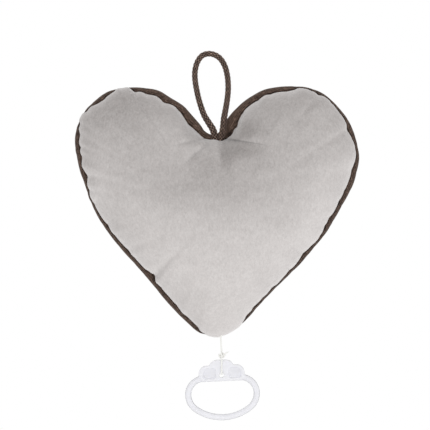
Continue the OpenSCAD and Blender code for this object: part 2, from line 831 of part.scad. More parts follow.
module comb_screws() {
    color(steel) in_case()
    for (s = [-1, 1]) translate([s * comb_screw_x, comb_screw_y, comb_back + comb_root_t]) {
        screw(comb_screw_r, 1.9 * comb_screw_r, 1.3, comb_root_t + comb_bite);
    }
}

// ---------------------------------------------------------------- governor
inner_cheek_x = 8.2;
cheek_t = 0.6;
outer_cheek_x = 13.3;
shaft_end_x = outer_cheek_x + bracket_t;
fan_h = 2.6;
worm_top = cylinder_z + worm_len / 2;
fan_z = worm_top + 0.8;
arm_z = fan_z + fan_h + free_gap;
wall_y = worm_y - fan_r - free_gap - bracket_t;
crown_clear = crown_out_r + 0.5;
foot_start_x = 6;
foot_end_x = 17.2;
foot_top_y = -5.6;
foot_step_y = -10;

module governor_bracket() {
    leg_y = -sqrt(crown_clear * crown_clear - inner_cheek_x * inner_cheek_x);
    color(steel) in_case()
    difference() {
        union() {
            difference() {
                translate([foot_start_x, wall_y, plate_front])
                    cube([foot_end_x - foot_start_x, foot_top_y - wall_y, bracket_t]);
                rod(crown_clear, plate_front - 1, plate_front + 2);
                translate([outer_cheek_x + bracket_t, wall_y - 1, plate_front - 1])
                    cube([foot_end_x - outer_cheek_x, foot_step_y - wall_y + 1, bracket_t + 2]);
            }
            along_x(inner_cheek_x, 0, 0) linear_extrude(cheek_t) polygon([
                [leg_y - 3.6, plate_front], [leg_y, plate_front], [leg_y, cylinder_z - 2.8],
                [governor_y + 1.2, cylinder_z - 1.2], [governor_y + 1.2, cylinder_z + 1.6], [leg_y - 3.6, cylinder_z + 1.6]
            ]);
            translate([outer_cheek_x, governor_y - 2, plate_front]) cube([bracket_t, 4, cylinder_z + 2 - plate_front]);
            translate([worm_x - 2.2, wall_y, plate_front]) cube([4.4, bracket_t, arm_z + bracket_t - plate_front]);
            translate([worm_x - 2.2, wall_y, arm_z]) cube([4.4, worm_y + 1.6 - wall_y, bracket_t]);
        }
        along_x(inner_cheek_x - 1, governor_y, cylinder_z)
            cylinder(r = governor_shaft_r + running_gap, h = shaft_end_x - inner_cheek_x + 2);
        translate([worm_x, worm_y, 0]) rod(governor_shaft_r + running_gap, plate_front - 1, arm_z + 2);
        for (p = bracket_screw_places) translate(p) rod(small_screw_r + 0.1, plate_front - 1, plate_front + 2);
    }
}

module governor_screws() {
    color(steel) in_case()
    for (p = bracket_screw_places) translate(p) translate([0, 0, plate_front + bracket_t]) {
        screw(small_screw_r, 2 * small_screw_r, 0.9, bracket_t + bedplate_t);
    }
}

module governor_shaft() {
    color(steel) in_case() along_x(inner_cheek_x, governor_y, cylinder_z)
        cylinder(r = governor_shaft_r, h = shaft_end_x - inner_cheek_x);
}

module governor_pinion() {
    color(brass) in_case() along_x(governor_gear_x, governor_y, cylinder_z)
        gear(governor_pinion_teeth, governor_module, governor_gear_w, tooth_play / 2,
             180 / governor_pinion_teeth, governor_shaft_r);
}

module worm_wheel() {
    color(brass) in_case() along_x(worm_wheel_x, governor_y, cylinder_z)
        gear(worm_wheel_teeth, governor_module, worm_wheel_w, tooth_play / 2,
             worm_wheel_teeth % 2 == 0 ? 0 : 180 / worm_wheel_teeth, governor_shaft_r);
}

// An off-centre disc turned as it rises makes the round thread of the worm
worm_sides = 10;
worm_rings = 8;
function worm_ring(z, turn) =
    [for (k = [0:worm_sides - 1])
        let (p = polar(polar([0, 0], worm_depth, turn), worm_r, turn + 360 * k / worm_sides)) [p.x, p.y, z]];

module worm() {
    start = cylinder_z - worm_len / 2;
    steps = round(worm_len / worm_pitch * worm_rings);
    first = -90 - 180 * worm_len / worm_pitch;
    color(steel) in_case() translate([worm_x, worm_y, 0]) {
        rod(governor_shaft_r, plate_front, arm_z + bracket_t);
        loft(
            [0, 0, start],
            [for (i = [0:steps]) worm_ring(start + worm_len * i / steps, first + 360 * worm_len / worm_pitch * i / steps)],
            [0, 0, start + worm_len]
        );
    }
}

module air_brake() {
    color(plain_white) in_case() translate([worm_x, worm_y, 0])
    difference() {
        union() {
            rod(1.2, fan_z, fan_z + fan_h);
            for (a = [0, 90]) rotate([0, 0, a]) translate([-fan_r, -0.25, fan_z]) cube([2 * fan_r, 0.5, fan_h]);
        }
        rod(governor_shaft_r, fan_z - 1, fan_z + fan_h + 1);
    }
}

// ---------------------------------------------------------------- pull cord and ring
knot_r = 2;
knot_at = [cord_x, 0, -knot_drop];
strand_drop = 13.9;
pull_start = 7;
// The hole's top rests on the strand of cord that passes through it
hole_at = knot_at - [0, 0, strand_drop + cord_hole_r - cord_d / 2 - 0.15];
bar_half = ring_w / 2 - bar_d / 2;
bar_top = corner_r;
bar_bottom = finger_h + bar_d - corner_r;
hole_rise = bar_top + 2.25;
ring_side_c = bar_half - side_r;
bottom_r = (ring_side_c * ring_side_c + bar_bottom * bar_bottom - side_r * side_r) / (2 * (bar_bottom - side_r));
bottom_meet = atan2(bottom_r - bar_bottom, ring_side_c);
cloud_round = 0.9;

module pull_cord() {
    color(plain_white) translate([cord_x, 0, -knot_drop + knot_r + free_gap])
        cylinder(r = cord_d / 2, h = knot_drop - knot_r - free_gap - case_drop - pull_start, $fn = 24);
}

module cord_knot() {
    color(plain_white) translate(knot_at) {
        sphere(r = knot_r, $fn = 32);
        rotate([0, 52, 0]) cylinder(r = cord_d / 2, h = 4.8, $fn = 24);
        rotate([0, -105, 0]) cylinder(r = cord_d / 2, h = 2.9, $fn = 24);
    }
}

module ring_cord_loop() {
    color(plain_white)
        tube([for (p = loop_under_knot) knot_at + [0, p.x, p.y]], cord_d / 2, 8, [1, 0, 0]);
}

// The bar's centre line: two upper corners, two sides and a flatter bottom, each tangent to the next
bar_right = concat(
    arc([bar_half - corner_r, 0], corner_r, 90, 0, 7),
    arc([ring_side_c, 0], side_r, 0, -bottom_meet, 5, 1),
    arc([0, bottom_r - bar_bottom], bottom_r, -bottom_meet, -90, 6, 1)
);
bar_route = concat(
    [for (p = bar_right) [p.x, 0, p.y]],
    [for (i = [len(bar_right) - 2:-1:0]) [-bar_right[i].x, 0, bar_right[i].y]]
);
bar_sides = 14;

// A tube along a route that closes on itself
module closed_tube(route, r, sides, side) {
    n = len(route);
    polyhedron(
        points = [for (i = [0:n - 1])
            let (t = unit(route[(i + 1) % n] - route[(i + n - 1) % n]), u = side, v = cross(t, u))
            for (k = [0:sides - 1]) route[i] + r * (cos(360 * k / sides) * u + sin(360 * k / sides) * v)],
        faces = [for (i = [0:n - 1], k = [0:sides - 1])
            let (a = i * sides, b = (i + 1) % n * sides, m = (k + 1) % sides)
            each [[a + k, b + k, b + m], [a + k, b + m, a + m]]]
    );
}

// A bump of the cloud: a disc with rounded edges
module cloud_bump(c, r) {
    translate([c.x, cloud_t / 2, c.y]) rotate([90, 0, 0]) rotate_extrude() polygon(concat(
        [[0, 0]],
        arc([r - cloud_round, cloud_round], cloud_round, -90, 0, 4),
        arc([r - cloud_round, cloud_t - cloud_round], cloud_round, 0, 90, 4),
        [[0, cloud_t]]
    ));
}

// Children drawn in the ring's own upright frame, hung from the hole and leaned
module on_ring_frame() {
    translate(hole_at) rotate([0, -ring_tilt, 0]) translate([0, 0, -hole_rise]) children();
}

module pull_ring() {
    side_z = bar_top + 4;
    mid_z = bar_top + 5.6;
    recess_r = 4.4;
    recess_x = 10.2;
    recess_depth = 0.8;
    color(plain_white) on_ring_frame()
    difference() {
        union() {
            closed_tube(bar_route, bar_d / 2, bar_sides, [0, 1, 0]);
            difference() {
                union() {
                    cloud_bump([0, mid_z], cloud_mid_r);
                    for (s = [-1, 1]) cloud_bump([s * cloud_side_x, side_z], cloud_side_r);
                }
                for (s = [-1, 1], f = [-1, 1]) {
                    translate([s * recess_x, f * cloud_t / 2, side_z]) rotate([90, 0, 0])
                        cylinder(r = recess_r, h = 2 * recess_depth, center = true);
                }
                translate([-ring_w / 2, -cloud_t, -ring_w]) cube([ring_w, 2 * cloud_t, ring_w + bar_top]);
            }
        }
        translate([0, 0, hole_rise]) rotate([90, 0, 0]) cylinder(r = cord_hole_r, h = 4 * bar_d, center = true);
    }
}

front_panel();
back_panel();
fibre_filling();
hanging_loop();
case_base();
case_cover();
case_screws();
cord_eyelet();
bedplate();
bedplate_screws();
bearing_brackets();
bearing_screws();
spring_arbor();
mainspring();
string_drum();
cord_winding();
click_spring();
crown_wheel();
crown_shaft();
ratchet_wheel();
shaft_clip();
cylinder_barrel();
cylinder_pins();
cylinder_shaft();
drive_pinion();
governor_gear();
comb();
comb_screws();
governor_bracket();
governor_screws();
governor_shaft();
governor_pinion();
worm_wheel();
worm();
air_brake();
pull_cord();
cord_knot();
ring_cord_loop();
pull_ring();
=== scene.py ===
"""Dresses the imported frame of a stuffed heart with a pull-cord musical movement.

Every length is in metres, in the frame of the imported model: X to the right, Z up, and the
velvet front faces -Y. Shapes are worked out with numpy on grids of two parameters."""
import json
import math

import bpy
import numpy as np
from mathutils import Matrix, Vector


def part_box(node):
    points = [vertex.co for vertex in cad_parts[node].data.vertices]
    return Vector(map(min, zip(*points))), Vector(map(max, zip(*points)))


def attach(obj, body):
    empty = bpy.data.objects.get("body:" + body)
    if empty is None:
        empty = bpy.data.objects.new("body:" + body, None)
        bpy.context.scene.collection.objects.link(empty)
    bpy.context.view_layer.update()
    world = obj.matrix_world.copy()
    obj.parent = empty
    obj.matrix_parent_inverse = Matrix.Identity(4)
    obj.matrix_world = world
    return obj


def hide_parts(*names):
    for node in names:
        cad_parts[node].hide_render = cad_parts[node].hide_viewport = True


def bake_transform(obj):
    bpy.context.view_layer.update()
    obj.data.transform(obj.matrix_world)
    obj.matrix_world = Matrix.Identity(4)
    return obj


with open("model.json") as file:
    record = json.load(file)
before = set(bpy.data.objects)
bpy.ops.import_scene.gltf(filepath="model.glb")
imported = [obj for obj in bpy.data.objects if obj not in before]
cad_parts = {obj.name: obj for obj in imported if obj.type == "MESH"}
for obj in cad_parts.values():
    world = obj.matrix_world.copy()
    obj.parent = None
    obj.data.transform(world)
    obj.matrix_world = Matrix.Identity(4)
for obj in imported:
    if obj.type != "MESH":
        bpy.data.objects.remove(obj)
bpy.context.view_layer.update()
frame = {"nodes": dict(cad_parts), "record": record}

import openvdb
from bpy.props import FloatProperty, FloatVectorProperty, IntProperty, PointerProperty
from mathutils import Vector

bl_info = {
    "name": "Plush heart with a pull-cord movement",
    "version": (1, 0, 0),
    "blender": (4, 5, 0),
    "location": "3D View > Sidebar > Heart",
    "description": "Makes the cloth, cords, ring and finishes of a musical plush heart",
    "category": "Object",
}

MM = 0.001
FULL_TURN = 2 * math.pi


# ---------------------------------------------------------------- settings

def metres(name, description, default):
    """A length property."""
    return FloatProperty(name=name, description=description, default=default, unit="LENGTH")


def colour(name, description, default):
    """A colour property with its three linear values."""
    return FloatVectorProperty(name=name, description=description, default=default,
                               subtype="COLOR", size=3, min=0, max=1)


class HeartSizes(bpy.types.PropertyGroup):
    """Sizes of the stuffed heart"""
    crown: metres("Crown depth", "Depth of the fullest point below the hanging point", 0.112)
    front_depth: metres("Front depth", "How far the front stands out of the middle plane",
                        -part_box("front_panel")[0][1])
    back_depth: metres("Back depth", "How far the back stands out of the middle plane",
                       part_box("back_panel")[1][1])
    belly: metres("Belly", "How far behind the seam the back panel is widest", 0.006)
    cloth: metres("Cloth", "Thickness of the velvet and of the knit", 0.0013)
    pucker: metres("Pucker depth", "Depth of the creases that the gathered seam makes", 0.0013)
    puff: metres("Puff", "How far the velvet swells between two creases of the seam", 0.0009)
    grid: IntProperty(name="Grid", description="Cells along each side of a panel's grid",
                      default=150, min=40, max=220)


class CordSizes(bpy.types.PropertyGroup):
    """Sizes of the cords"""
    loop: metres("Loop diameter", "Diameter of the braided hanging loop", 0.0044)
    cord: metres("Cord diameter", "Diameter of the pull cord", 0.0014)


class RingSizes(bpy.types.PropertyGroup):
    """Sizes of the pull ring"""
    bar: metres("Bar diameter", "Diameter of the ring's round bar", 0.0048)
    plate: metres("Plate thickness", "Thickness of the cloud-shaped plate", 0.0042)
    hollow: metres("Hollows", "Depth of the hollows in the plate's faces", 0.0005)
    lean: FloatProperty(name="Lean", description="Lean of the hanging ring, right side up",
                        default=math.radians(2.5), subtype="ANGLE")
    grain: metres("Blend grain", "Grain at which the plate is blended into the bar", 0.00028)


class Finishes(bpy.types.PropertyGroup):
    """Colours of the pieces"""
    velvet: colour("Velvet", "Main colour of the velvet front", (0.595, 0.565, 0.553))
    # The velvet's darker tone, towards which both its mottling and its painted shade go
    velvet_shade: colour("Velvet shade", "Colour of the pile where it lies away",
                         (0.485, 0.458, 0.447))
    knit: colour("Knit", "Colour of the knitted back", (0.125, 0.083, 0.064))
    braid: colour("Braid", "Colour of the hanging loop", (0.290, 0.200, 0.160))
    string: colour("String", "Colour of the pull cord", (0.95, 0.95, 0.93))
    ring: colour("Ring", "Colour of the pull ring", (0.835, 0.835, 0.868))
    fibre: colour("Fibre", "Colour of the filling", (0.88, 0.88, 0.86))
    case: colour("Case", "Colour of the movement's case", (0.72, 0.72, 0.70))
    drum: colour("Drum", "Colour of the moulded drum", (0.82, 0.82, 0.80))
    steel: colour("Steel", "Colour of the steel pieces", (0.55, 0.56, 0.57))
    cast: colour("Cast metal", "Colour of the die-cast plate", (0.60, 0.60, 0.61))
    brass: colour("Brass", "Colour of the brass pieces", (0.72, 0.55, 0.26))


GROUPS = {"heart_sizes": HeartSizes, "heart_cords": CordSizes, "heart_ring": RingSizes,
          "heart_finishes": Finishes}


# ---------------------------------------------------------------- curves and grids

PER_SPAN = 24        # points of a curve between two of the places that it passes through


def route(places, count, closed=False):
    """Points at equal distances along a Catmull-Rom curve through the places, and its length: on
    each span the curve is the cubic whose slope at either end is half the step between the
    neighbours there."""
    p = np.asarray(places, float)
    if closed:
        before, start, end, after = np.roll(p, 1, 0), p, np.roll(p, -1, 0), np.roll(p, -2, 0)
    else:
        q = np.vstack([2 * p[0] - p[1], p, 2 * p[-1] - p[-2]])
        before, start, end, after = q[:-3], q[1:-2], q[2:-1], q[3:]
    t = (np.arange(PER_SPAN) / PER_SPAN)[None, :, None]
    before, start, end, after = (a[:, None] for a in (before, start, end, after))
    curve = 0.5 * (2 * start + (end - before) * t
                   + (2 * before - 5 * start + 4 * end - after) * t ** 2
                   + (3 * start - before - 3 * end + after) * t ** 3)
    curve = curve.reshape(-1, p.shape[1])
    curve = np.vstack([curve, curve[:1] if closed else p[-1]])
    far = np.r_[0, np.cumsum(np.linalg.norm(np.diff(curve, axis=0), axis=1))]
    at = np.linspace(0, far[-1], count, endpoint=not closed)
    return np.stack([np.interp(at, far, curve[:, k]) for k in range(p.shape[1])], 1), far[-1]


def softened(values, width):
    """A closed row of values averaged three times over a window of width steps to either side."""
    for _ in range(3):
        padded = np.concatenate([values[-width:], values, values[:width]])
        sums = np.cumsum(np.concatenate([padded[:1] * 0, padded]), axis=0)
        values = (sums[2 * width + 1:] - sums[:-2 * width - 1]) / (2 * width + 1)
    return values


def around(values, turn):
    """A closed row of values at a share of the way round, straight between its steps."""
    n = len(values)
    x = np.asarray(turn) % 1 * n
    low = np.floor(x).astype(int)
    part = x - low
    if values.ndim > 1:
        part = part[..., None]
    return values[low % n] * (1 - part) + values[(low + 1) % n] * part


def step(low, high, x):
    """0 below low, 1 above high, and 3t^2 - 2t^3 between them."""
    t = np.clip((x - low) / (high - low), 0, 1)
    return t * t * (3 - 2 * t)


def disc_grid(n):
    """A square grid of n by n cells laid over a round disc.

    The outer cells follow rings: a square ring of half side r becomes a circle of radius r. The
    inner ones follow x sqrt(1 - z^2/2), z sqrt(1 - x^2/2), which has no kink on the diagonals.
    Returns the distance from the middle, from 0 to 1, and how far round a point lies, clockwise
    from the top, from 0 to 1."""
    a = np.linspace(-1, 1, n + 1)
    x, z = np.meshgrid(a, a)
    ring = np.maximum(abs(x), abs(z))
    u, v = x / np.maximum(ring, 1e-9), z / np.maximum(ring, 1e-9)
    eighths = np.where(abs(x) > abs(z), np.where(x > 0, 2 - v, 6 + v),
                       np.where(z > 0, (u + 8) % 8, 4 - u))
    t = eighths * math.pi / 4
    w = step(0.4, 0.84, ring)
    px = w * ring * np.sin(t) + (1 - w) * x * np.sqrt(1 - z * z / 2)
    pz = w * ring * np.cos(t) + (1 - w) * z * np.sqrt(1 - x * x / 2)
    return np.minimum(np.hypot(px, pz), 1), np.arctan2(px, pz) / FULL_TURN % 1


def cells(rows, cols, first=0, wrap=False, closed=False):
    """Four corners of each cell of a grid of rows by cols points, in order; wrap joins the last
    column to the first, and closed the last row to the first."""
    v = first + np.arange(rows * cols).reshape(rows, cols)
    if wrap:
        v = np.hstack([v, v[:, :1]])
    if closed:
        v = np.vstack([v, v[:1]])
    return np.stack([v[:-1, :-1], v[:-1, 1:], v[1:, 1:], v[1:, :-1]], -1).reshape(-1, 4)


def facing(p):
    """Unit normals of a grid of points, from the cross product of its two directions."""
    n = np.cross(np.gradient(p, axis=1), np.gradient(p, axis=0))
    # At a corner of the grid both directions run along the rim, so its neighbour's is taken
    n[[0, 0, -1, -1], [0, -1, 0, -1]] = n[[1, 1, -2, -2], [1, -2, 1, -2]]
    return n / np.maximum(np.linalg.norm(n, axis=-1, keepdims=True), 1e-12)


def make_mesh(name, points, faces, uv=None, values=None, label="relief"):
    """A smoothly shaded mesh object from one array of faces, or several. uv has one pair for each
    point, and values one number or three, which are kept under a label."""
    mesh = bpy.data.meshes.new(name)
    faces = [np.asarray(f) for f in (faces if isinstance(faces, list) else [faces])]
    mesh.from_pydata(np.asarray(points, float).tolist(), [], [q for f in faces for q in f.tolist()])
    mesh.update()
    if uv is not None:
        corner = np.empty(len(mesh.loops), np.int32)
        mesh.loops.foreach_get("vertex_index", corner)
        layer = mesh.uv_layers.new(name="Cloth")
        layer.data.foreach_set("uv", np.asarray(uv, np.float32)[corner].ravel())
    if values is not None:
        kind, key = ("FLOAT_VECTOR", "vector") if np.ndim(values) == 2 else ("FLOAT", "value")
        layer = mesh.attributes.new(label, kind, "POINT")
        layer.data.foreach_set(key, np.asarray(values, np.float32).ravel())
    mesh.polygons.foreach_set("use_smooth", np.ones(len(mesh.polygons), bool))
    piece = bpy.data.objects.new(name, mesh)
    bpy.context.scene.collection.objects.link(piece)
    return piece


def place(piece, body, nodes, material):
    """Puts a finished piece on its body, unless it is blended between two, in the place of its
    CAD nodes."""
    piece.data.materials.append(material)
    if body:
        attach(piece, body)
    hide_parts(*nodes)


# ---------------------------------------------------------------- shader building

class Field:
    """A value that changes over a surface: the output of a node. Arithmetic adds Math nodes."""

    def __init__(self, graph, socket):
        self.graph, self.socket = graph, socket

    def __add__(self, other):
        return self.graph.maths("ADD", self, other)

    def __sub__(self, other):
        return self.graph.maths("SUBTRACT", self, other)

    def __rsub__(self, other):
        return self.graph.maths("SUBTRACT", other, self)

    def __mul__(self, other):
        return self.graph.maths("MULTIPLY", self, other)

    def __truediv__(self, other):
        return self.graph.maths("DIVIDE", self, other)

    def __pow__(self, other):
        return self.graph.maths("POWER", self, other)

    def __abs__(self):
        return self.graph.maths("ABSOLUTE", self)


class Graph:
    """A node tree that nodes are added to."""

    def __init__(self, tree):
        self.tree = tree

    def feed(self, source, target):
        """Links a field to an input, or sets the input to a plain value."""
        if isinstance(source, Field):
            self.tree.links.new(source.socket, target)
        else:
            target.default_value = source

    def add(self, kind, inputs=None, **made):
        """A new node with its properties set and its inputs fed."""
        n = self.tree.nodes.new("ShaderNode" + kind)
        for key, value in made.items():
            setattr(n, key, value)
        for name, source in (inputs or {}).items():
            self.feed(source, n.inputs[name])
        return n

    def node(self, kind, inputs=None, output=0, **made):
        """What a new node puts out."""
        return Field(self, self.add(kind, inputs, **made).outputs[output])

    def maths(self, operation, *sources):
        """A sum, product or the like of up to three numbers or fields."""
        return self.node("Math", dict(enumerate(sources)), operation=operation)

    def vector(self, operation, *sources, output=0):
        """A vector operation on up to three vectors; some put out a Value."""
        return self.node("VectorMath", dict(enumerate(sources)), output, operation=operation)

    def part(self, vector, axis):
        """One coordinate of a vector."""
        return self.node("SeparateXYZ", {0: vector}, axis)

    def mix(self, share, a, b, mode="MIX"):
        """A colour between a and b."""
        a, b = (c if isinstance(c, Field) else (*c[:3], 1) for c in (a, b))
        return self.node("Mix", {0: share, 6: a, 7: b}, 2, data_type="RGBA", blend_type=mode)

    def span(self, value, low, high, start=0.0, end=1.0, soft=False):
        """start where value is low, end where it is high, and straight or softly between."""
        ends = {"From Min": low, "From Max": high, "To Min": start, "To Max": end}
        return self.node("MapRange", {"Value": value, **ends},
                         interpolation_type="SMOOTHSTEP" if soft else "LINEAR")

    def noise(self, at, scale, detail, rough=0.5):
        """Smooth noise from 0 to 1."""
        return self.node("TexNoise", {"Vector": at, "Scale": scale, "Detail": detail,
                                      "Roughness": rough}, "Fac", noise_dimensions="3D")

    def attribute(self, name, output="Fac"):
        """What the mesh keeps under a name."""
        return self.node("Attribute", None, output, attribute_name=name)

    def group(self, name, **inputs):
        """The outputs of a node group placed with its own values."""
        n = self.add("Group", inputs, node_tree=bpy.data.node_groups[name])
        return {s.name: Field(self, s) for s in n.outputs}


class Finish(Graph):
    """A material in the making. Fixed values are set on the shader's own sockets, and at and uv
    are the place on the piece and on its cloth."""

    def __init__(self, name, **fixed):
        self.material = bpy.data.materials.new(name)
        self.material.use_nodes = True
        super().__init__(self.material.node_tree)
        self.shader = self.tree.nodes["Principled BSDF"]
        for socket, value in fixed.items():
            self.shader.inputs[socket.replace("_", " ")].default_value = value
        where = self.add("TexCoord").outputs
        self.at, self.uv = Field(self, where["Object"]), Field(self, where["UV"])

    def done(self, tone, height, strength, distance, rough=None):
        """The finished material, with a colour, a height for its bump and a roughness."""
        self.feed(tone, self.shader.inputs["Base Color"])
        if rough is not None:
            self.feed(rough, self.shader.inputs["Roughness"])
        lit = self.node("Bump", {"Height": height, "Strength": strength, "Distance": distance})
        self.feed(lit, self.shader.inputs["Normal"])
        return self.material


def make_group(name, inputs, outputs, build):
    """A shader node group with named inputs (None for a place), named outputs, and a function
    that works these out from those."""
    tree = bpy.data.node_groups.new(name, "ShaderNodeTree")
    for label, value in inputs.items():
        kind = "NodeSocketFloat" if isinstance(value, float) else "NodeSocketVector"
        socket = tree.interface.new_socket(label, in_out="INPUT", socket_type=kind)
        if value is not None:
            socket.default_value = value
    for label in outputs:
        tree.interface.new_socket(label, in_out="OUTPUT", socket_type="NodeSocketFloat")
    graph = Graph(tree)
    given = tree.nodes.new("NodeGroupInput").outputs
    wanted = tree.nodes.new("NodeGroupOutput").inputs
    for label, result in zip(outputs, build(graph, *(Field(graph, given[i]) for i in inputs))):
        graph.feed(result, wanted[label])


def cloudy(g, at, size, detail, low, high):
    """Soft patches: noise, 0 below low and 1 above high."""
    return [g.span(g.noise(at, size, detail), low, high, soft=True)]


def nap(g, at, strand, tuft, tufting):
    """Height of a pile: fine strands, and the tufts that they lie in."""
    return [g.noise(at, strand, 1.0) * 0.5 + g.noise(at, tuft, 3.0) * tufting]


def jersey(g, at, column, row):
    """Jersey knit: each column holds a stack of V stitches, so the rows lean up to either side.
    Its height is |sin(pi along)|^0.6 sin(2 pi lean)^0.5, and the gaps between stitches are low."""
    lean = abs(g.maths("FRACT", g.part(at, "X") / column) - 0.5)
    along = g.part(at, "Y") / row - lean * 1.1
    loop = abs(g.maths("SINE", along * math.pi))
    leg = g.maths("SINE", lean * FULL_TURN)
    high = loop ** 0.6 * leg ** 0.5
    return [high, g.span(high, 0.15, 0.75, soft=True)]


def surface_grain(g, at, size, stretch):
    """Fine grain, drawn out along an axis where stretch is small."""
    height = g.noise(g.vector("MULTIPLY", at, stretch), size, 3.0, 0.6)
    return [height, g.span(height, 0.3, 0.7)]


def crease(g, at, start, end, width):
    """A line from start to end that narrows and fades on its way: how near a place is to the line,
    times the square root of the way that is left."""
    way, gone = g.vector("SUBTRACT", end, start), g.vector("SUBTRACT", at, start)
    along = (g.vector("DOT_PRODUCT", gone, way, output="Value")
             / g.vector("DOT_PRODUCT", way, way, output="Value"))
    along = g.node("Clamp", {"Value": along})
    onto = g.node("VectorMath", {0: way, "Scale": along}, operation="SCALE")
    away = g.vector("LENGTH", g.vector("SUBTRACT", gone, onto), output="Value")
    near = g.span(away, 0.0, width * (1.15 - along), 1.0, 0.0, soft=True)
    return [near * g.maths("SQRT", 1.0 - along)]


def build_groups():
    """The effects that the materials share."""
    make_group("Cloudy", {"Vector": None, "Size": 30.0, "Detail": 3.0, "Low": 0.35, "High": 0.65},
               ["Mask"], cloudy)
    make_group("Nap", {"Vector": None, "Strand": 1800.0, "Tuft": 420.0, "Tufting": 0.5},
               ["Height"], nap)
    make_group("Jersey", {"Vector": None, "Column": 0.0014, "Row": 0.0011},
               ["Height", "Gap"], jersey)
    make_group("Surface grain", {"Vector": None, "Size": 900.0, "Stretch": (1, 1, 1)},
               ["Height", "Mask"], surface_grain)
    make_group("Crease", {"Vector": None, "Start": None, "End": None, "Width": 0.001},
               ["Mask"], crease)


# ---------------------------------------------------------------- materials

def creased_with_painted_shade(m, tone, height, creases, painted_shade_tone, limit=1.0):
    """A tone and a height with sharp creases, finer than the cloth's grid, drawn into them, as
    far as limit allows: each is a groove in the height with painted shade along it."""
    flat = m.vector("MULTIPLY", m.at, (1, 0, 1))
    for x0, z0, x1, z1, width, dark in creases:
        line = m.group("Crease", Vector=flat, Start=(x0 * MM, 0, z0 * MM),
                       End=(x1 * MM, 0, z1 * MM), Width=width * MM)["Mask"] * limit
        tone = m.mix(line * dark, tone, painted_shade_tone)
        height = height - line * (1.5 * dark)
    return tone, height


def velvet_material(finishes):
    """Short pile, with soft small mottling and a fine nap that is brushed down. Its tone takes
    painted light from the mesh: lighter where the cloth faces down and darker where it faces
    up, a painted sheen where it turns over the seam, lighter and darker patches, painted light
    and shade of the folds about the notch among them, and painted shade in its creases."""
    m = Finish("velvet", Roughness=0.92, Sheen_Weight=0.7, Sheen_Roughness=0.38,
               Specular_IOR_Level=0.12)
    broad = m.group("Cloudy", Vector=m.at, Size=26.0, Detail=3.0, Low=0.38, High=0.64)["Mask"]
    small = m.group("Cloudy", Vector=m.at, Size=230.0, Detail=4.0, Low=0.3, High=0.72)["Mask"]
    fine = m.group("Nap", Vector=m.vector("MULTIPLY", m.at, (1, 1, 0.6)), Strand=1250.0,
                   Tuft=560.0, Tufting=0.55)["Height"]
    # The mesh's attribute adds painted light, painted shade and a painted sheen to the mottling and
    # nap
    amount = broad * 0.26 + small * 0.26 + fine * 2.7 - 1.18 + m.attribute("pile_and_painted_light") * 0.85
    low, high = np.array(finishes.velvet_shade), np.array(finishes.velvet)
    # The amount is 0 at the shade and 1 at the main colour, and runs on beyond both
    tone = m.mix(m.span(amount, -2.0, 3.0), 3 * low - 2 * high, 3 * high - 2 * low)
    # Painted shade along the creases, towards 0.3 of the shade colour
    tone, height = creased_with_painted_shade(m, tone, fine, CREASES, low * 0.3)
    return m.done(tone, height, 0.8, 0.0006)


def knit_material(finishes):
    """Jersey: stitches from the cloth's own map, with painted shade between them, and uneven yarn.
    Beside the seam it has painted shade, and is stretched into broken ribs that run along the
    edge. Over the notch, deep between the lobes, it has painted light, and its creases there
    have painted shade."""
    m = Finish("knit", Roughness=0.9, Sheen_Weight=0.06, Sheen_Roughness=0.5,
               Specular_IOR_Level=0.12)
    stitches = m.group("Jersey", Vector=m.uv, Column=0.0019, Row=0.0014)
    patchy = m.group("Cloudy", Vector=m.at, Size=60.0, Detail=4.0)["Mask"]
    uneven = m.group("Cloudy", Vector=m.at, Size=700.0, Detail=2.0)["Mask"]
    c = np.array(finishes.knit)
    yarn = m.mix(uneven, c * 0.62, m.mix(patchy, c * 1.0, c * 1.35))
    # Painted shade in the gaps between stitches
    tone = m.mix(stitches["Gap"], c * 0.42, yarn)
    place_on = m.attribute("seam", "Vector")
    seam = m.part(place_on, "Y")
    rib = 1.7 * MM
    streak = m.group("Cloudy", Vector=m.vector("MULTIPLY", place_on, (0.3, 1.1, 1)), Size=900.0,
                     Detail=2.0, Low=0.3, High=0.7)["Mask"]
    wave = m.maths("SINE", seam * (FULL_TURN / rib)) * 0.35 + (streak - 0.5) * 1.3
    strength = m.span(seam, 0.004, 0.009, 1.0, 0.0)
    ribs = wave * strength
    # Painted shade beside the seam, and slightly lighter beyond it
    close = m.span(seam, 0.0008, 0.005, 0.5, 1.08)
    # Painted light over the notch, up to 1.35 times, where the knit lies deep between the lobes
    from_notch = m.vector("DISTANCE", m.at, (0, 0, -0.046), output="Value")
    level = (ribs + 1.0) * close * m.span(from_notch, 0.012, 0.036, 1.35, 1.0)
    shade = m.node("CombineXYZ", {"X": level, "Y": level, "Z": level})
    # Painted shade along the knit's creases, towards 0.2 of its colour
    tone, height = creased_with_painted_shade(m, m.mix(1.0, tone, shade, "MULTIPLY"), stitches["Height"] + ribs * 0.3,
                           KNIT_CREASES, c * 0.2, strength)
    return m.done(tone, height, 0.7, 0.0004)


def yarn_material(name, tint, depth, fine, lively, groove=0.1):
    """Braided yarn: painted shade in the grooves of the braid, with fine fibres in each strand,
    whose tones differ the more the livelier it is."""
    m = Finish(name, Roughness=0.85, Sheen_Weight=0.08, Sheen_Roughness=0.5,
               Specular_IOR_Level=0.2)
    fibres = m.group("Surface grain", Vector=m.at, Size=fine)
    uneven = m.group("Cloudy", Vector=m.at, Size=0.3 * fine)["Mask"]
    c = np.array(tint)
    strand = m.mix(fibres["Mask"], c * (1.12 - lively), np.minimum(c * (0.95 + lively), 1))
    strand = m.mix(uneven, c * (1.02 - lively / 2), strand)
    # Painted shade: the colour times depth where the braid's relief is low
    tone = m.mix(m.span(m.attribute("relief"), groove, 0.8), c * np.array(depth), strand)
    return m.done(tone, fibres["Height"], 0.4, 0.0002)


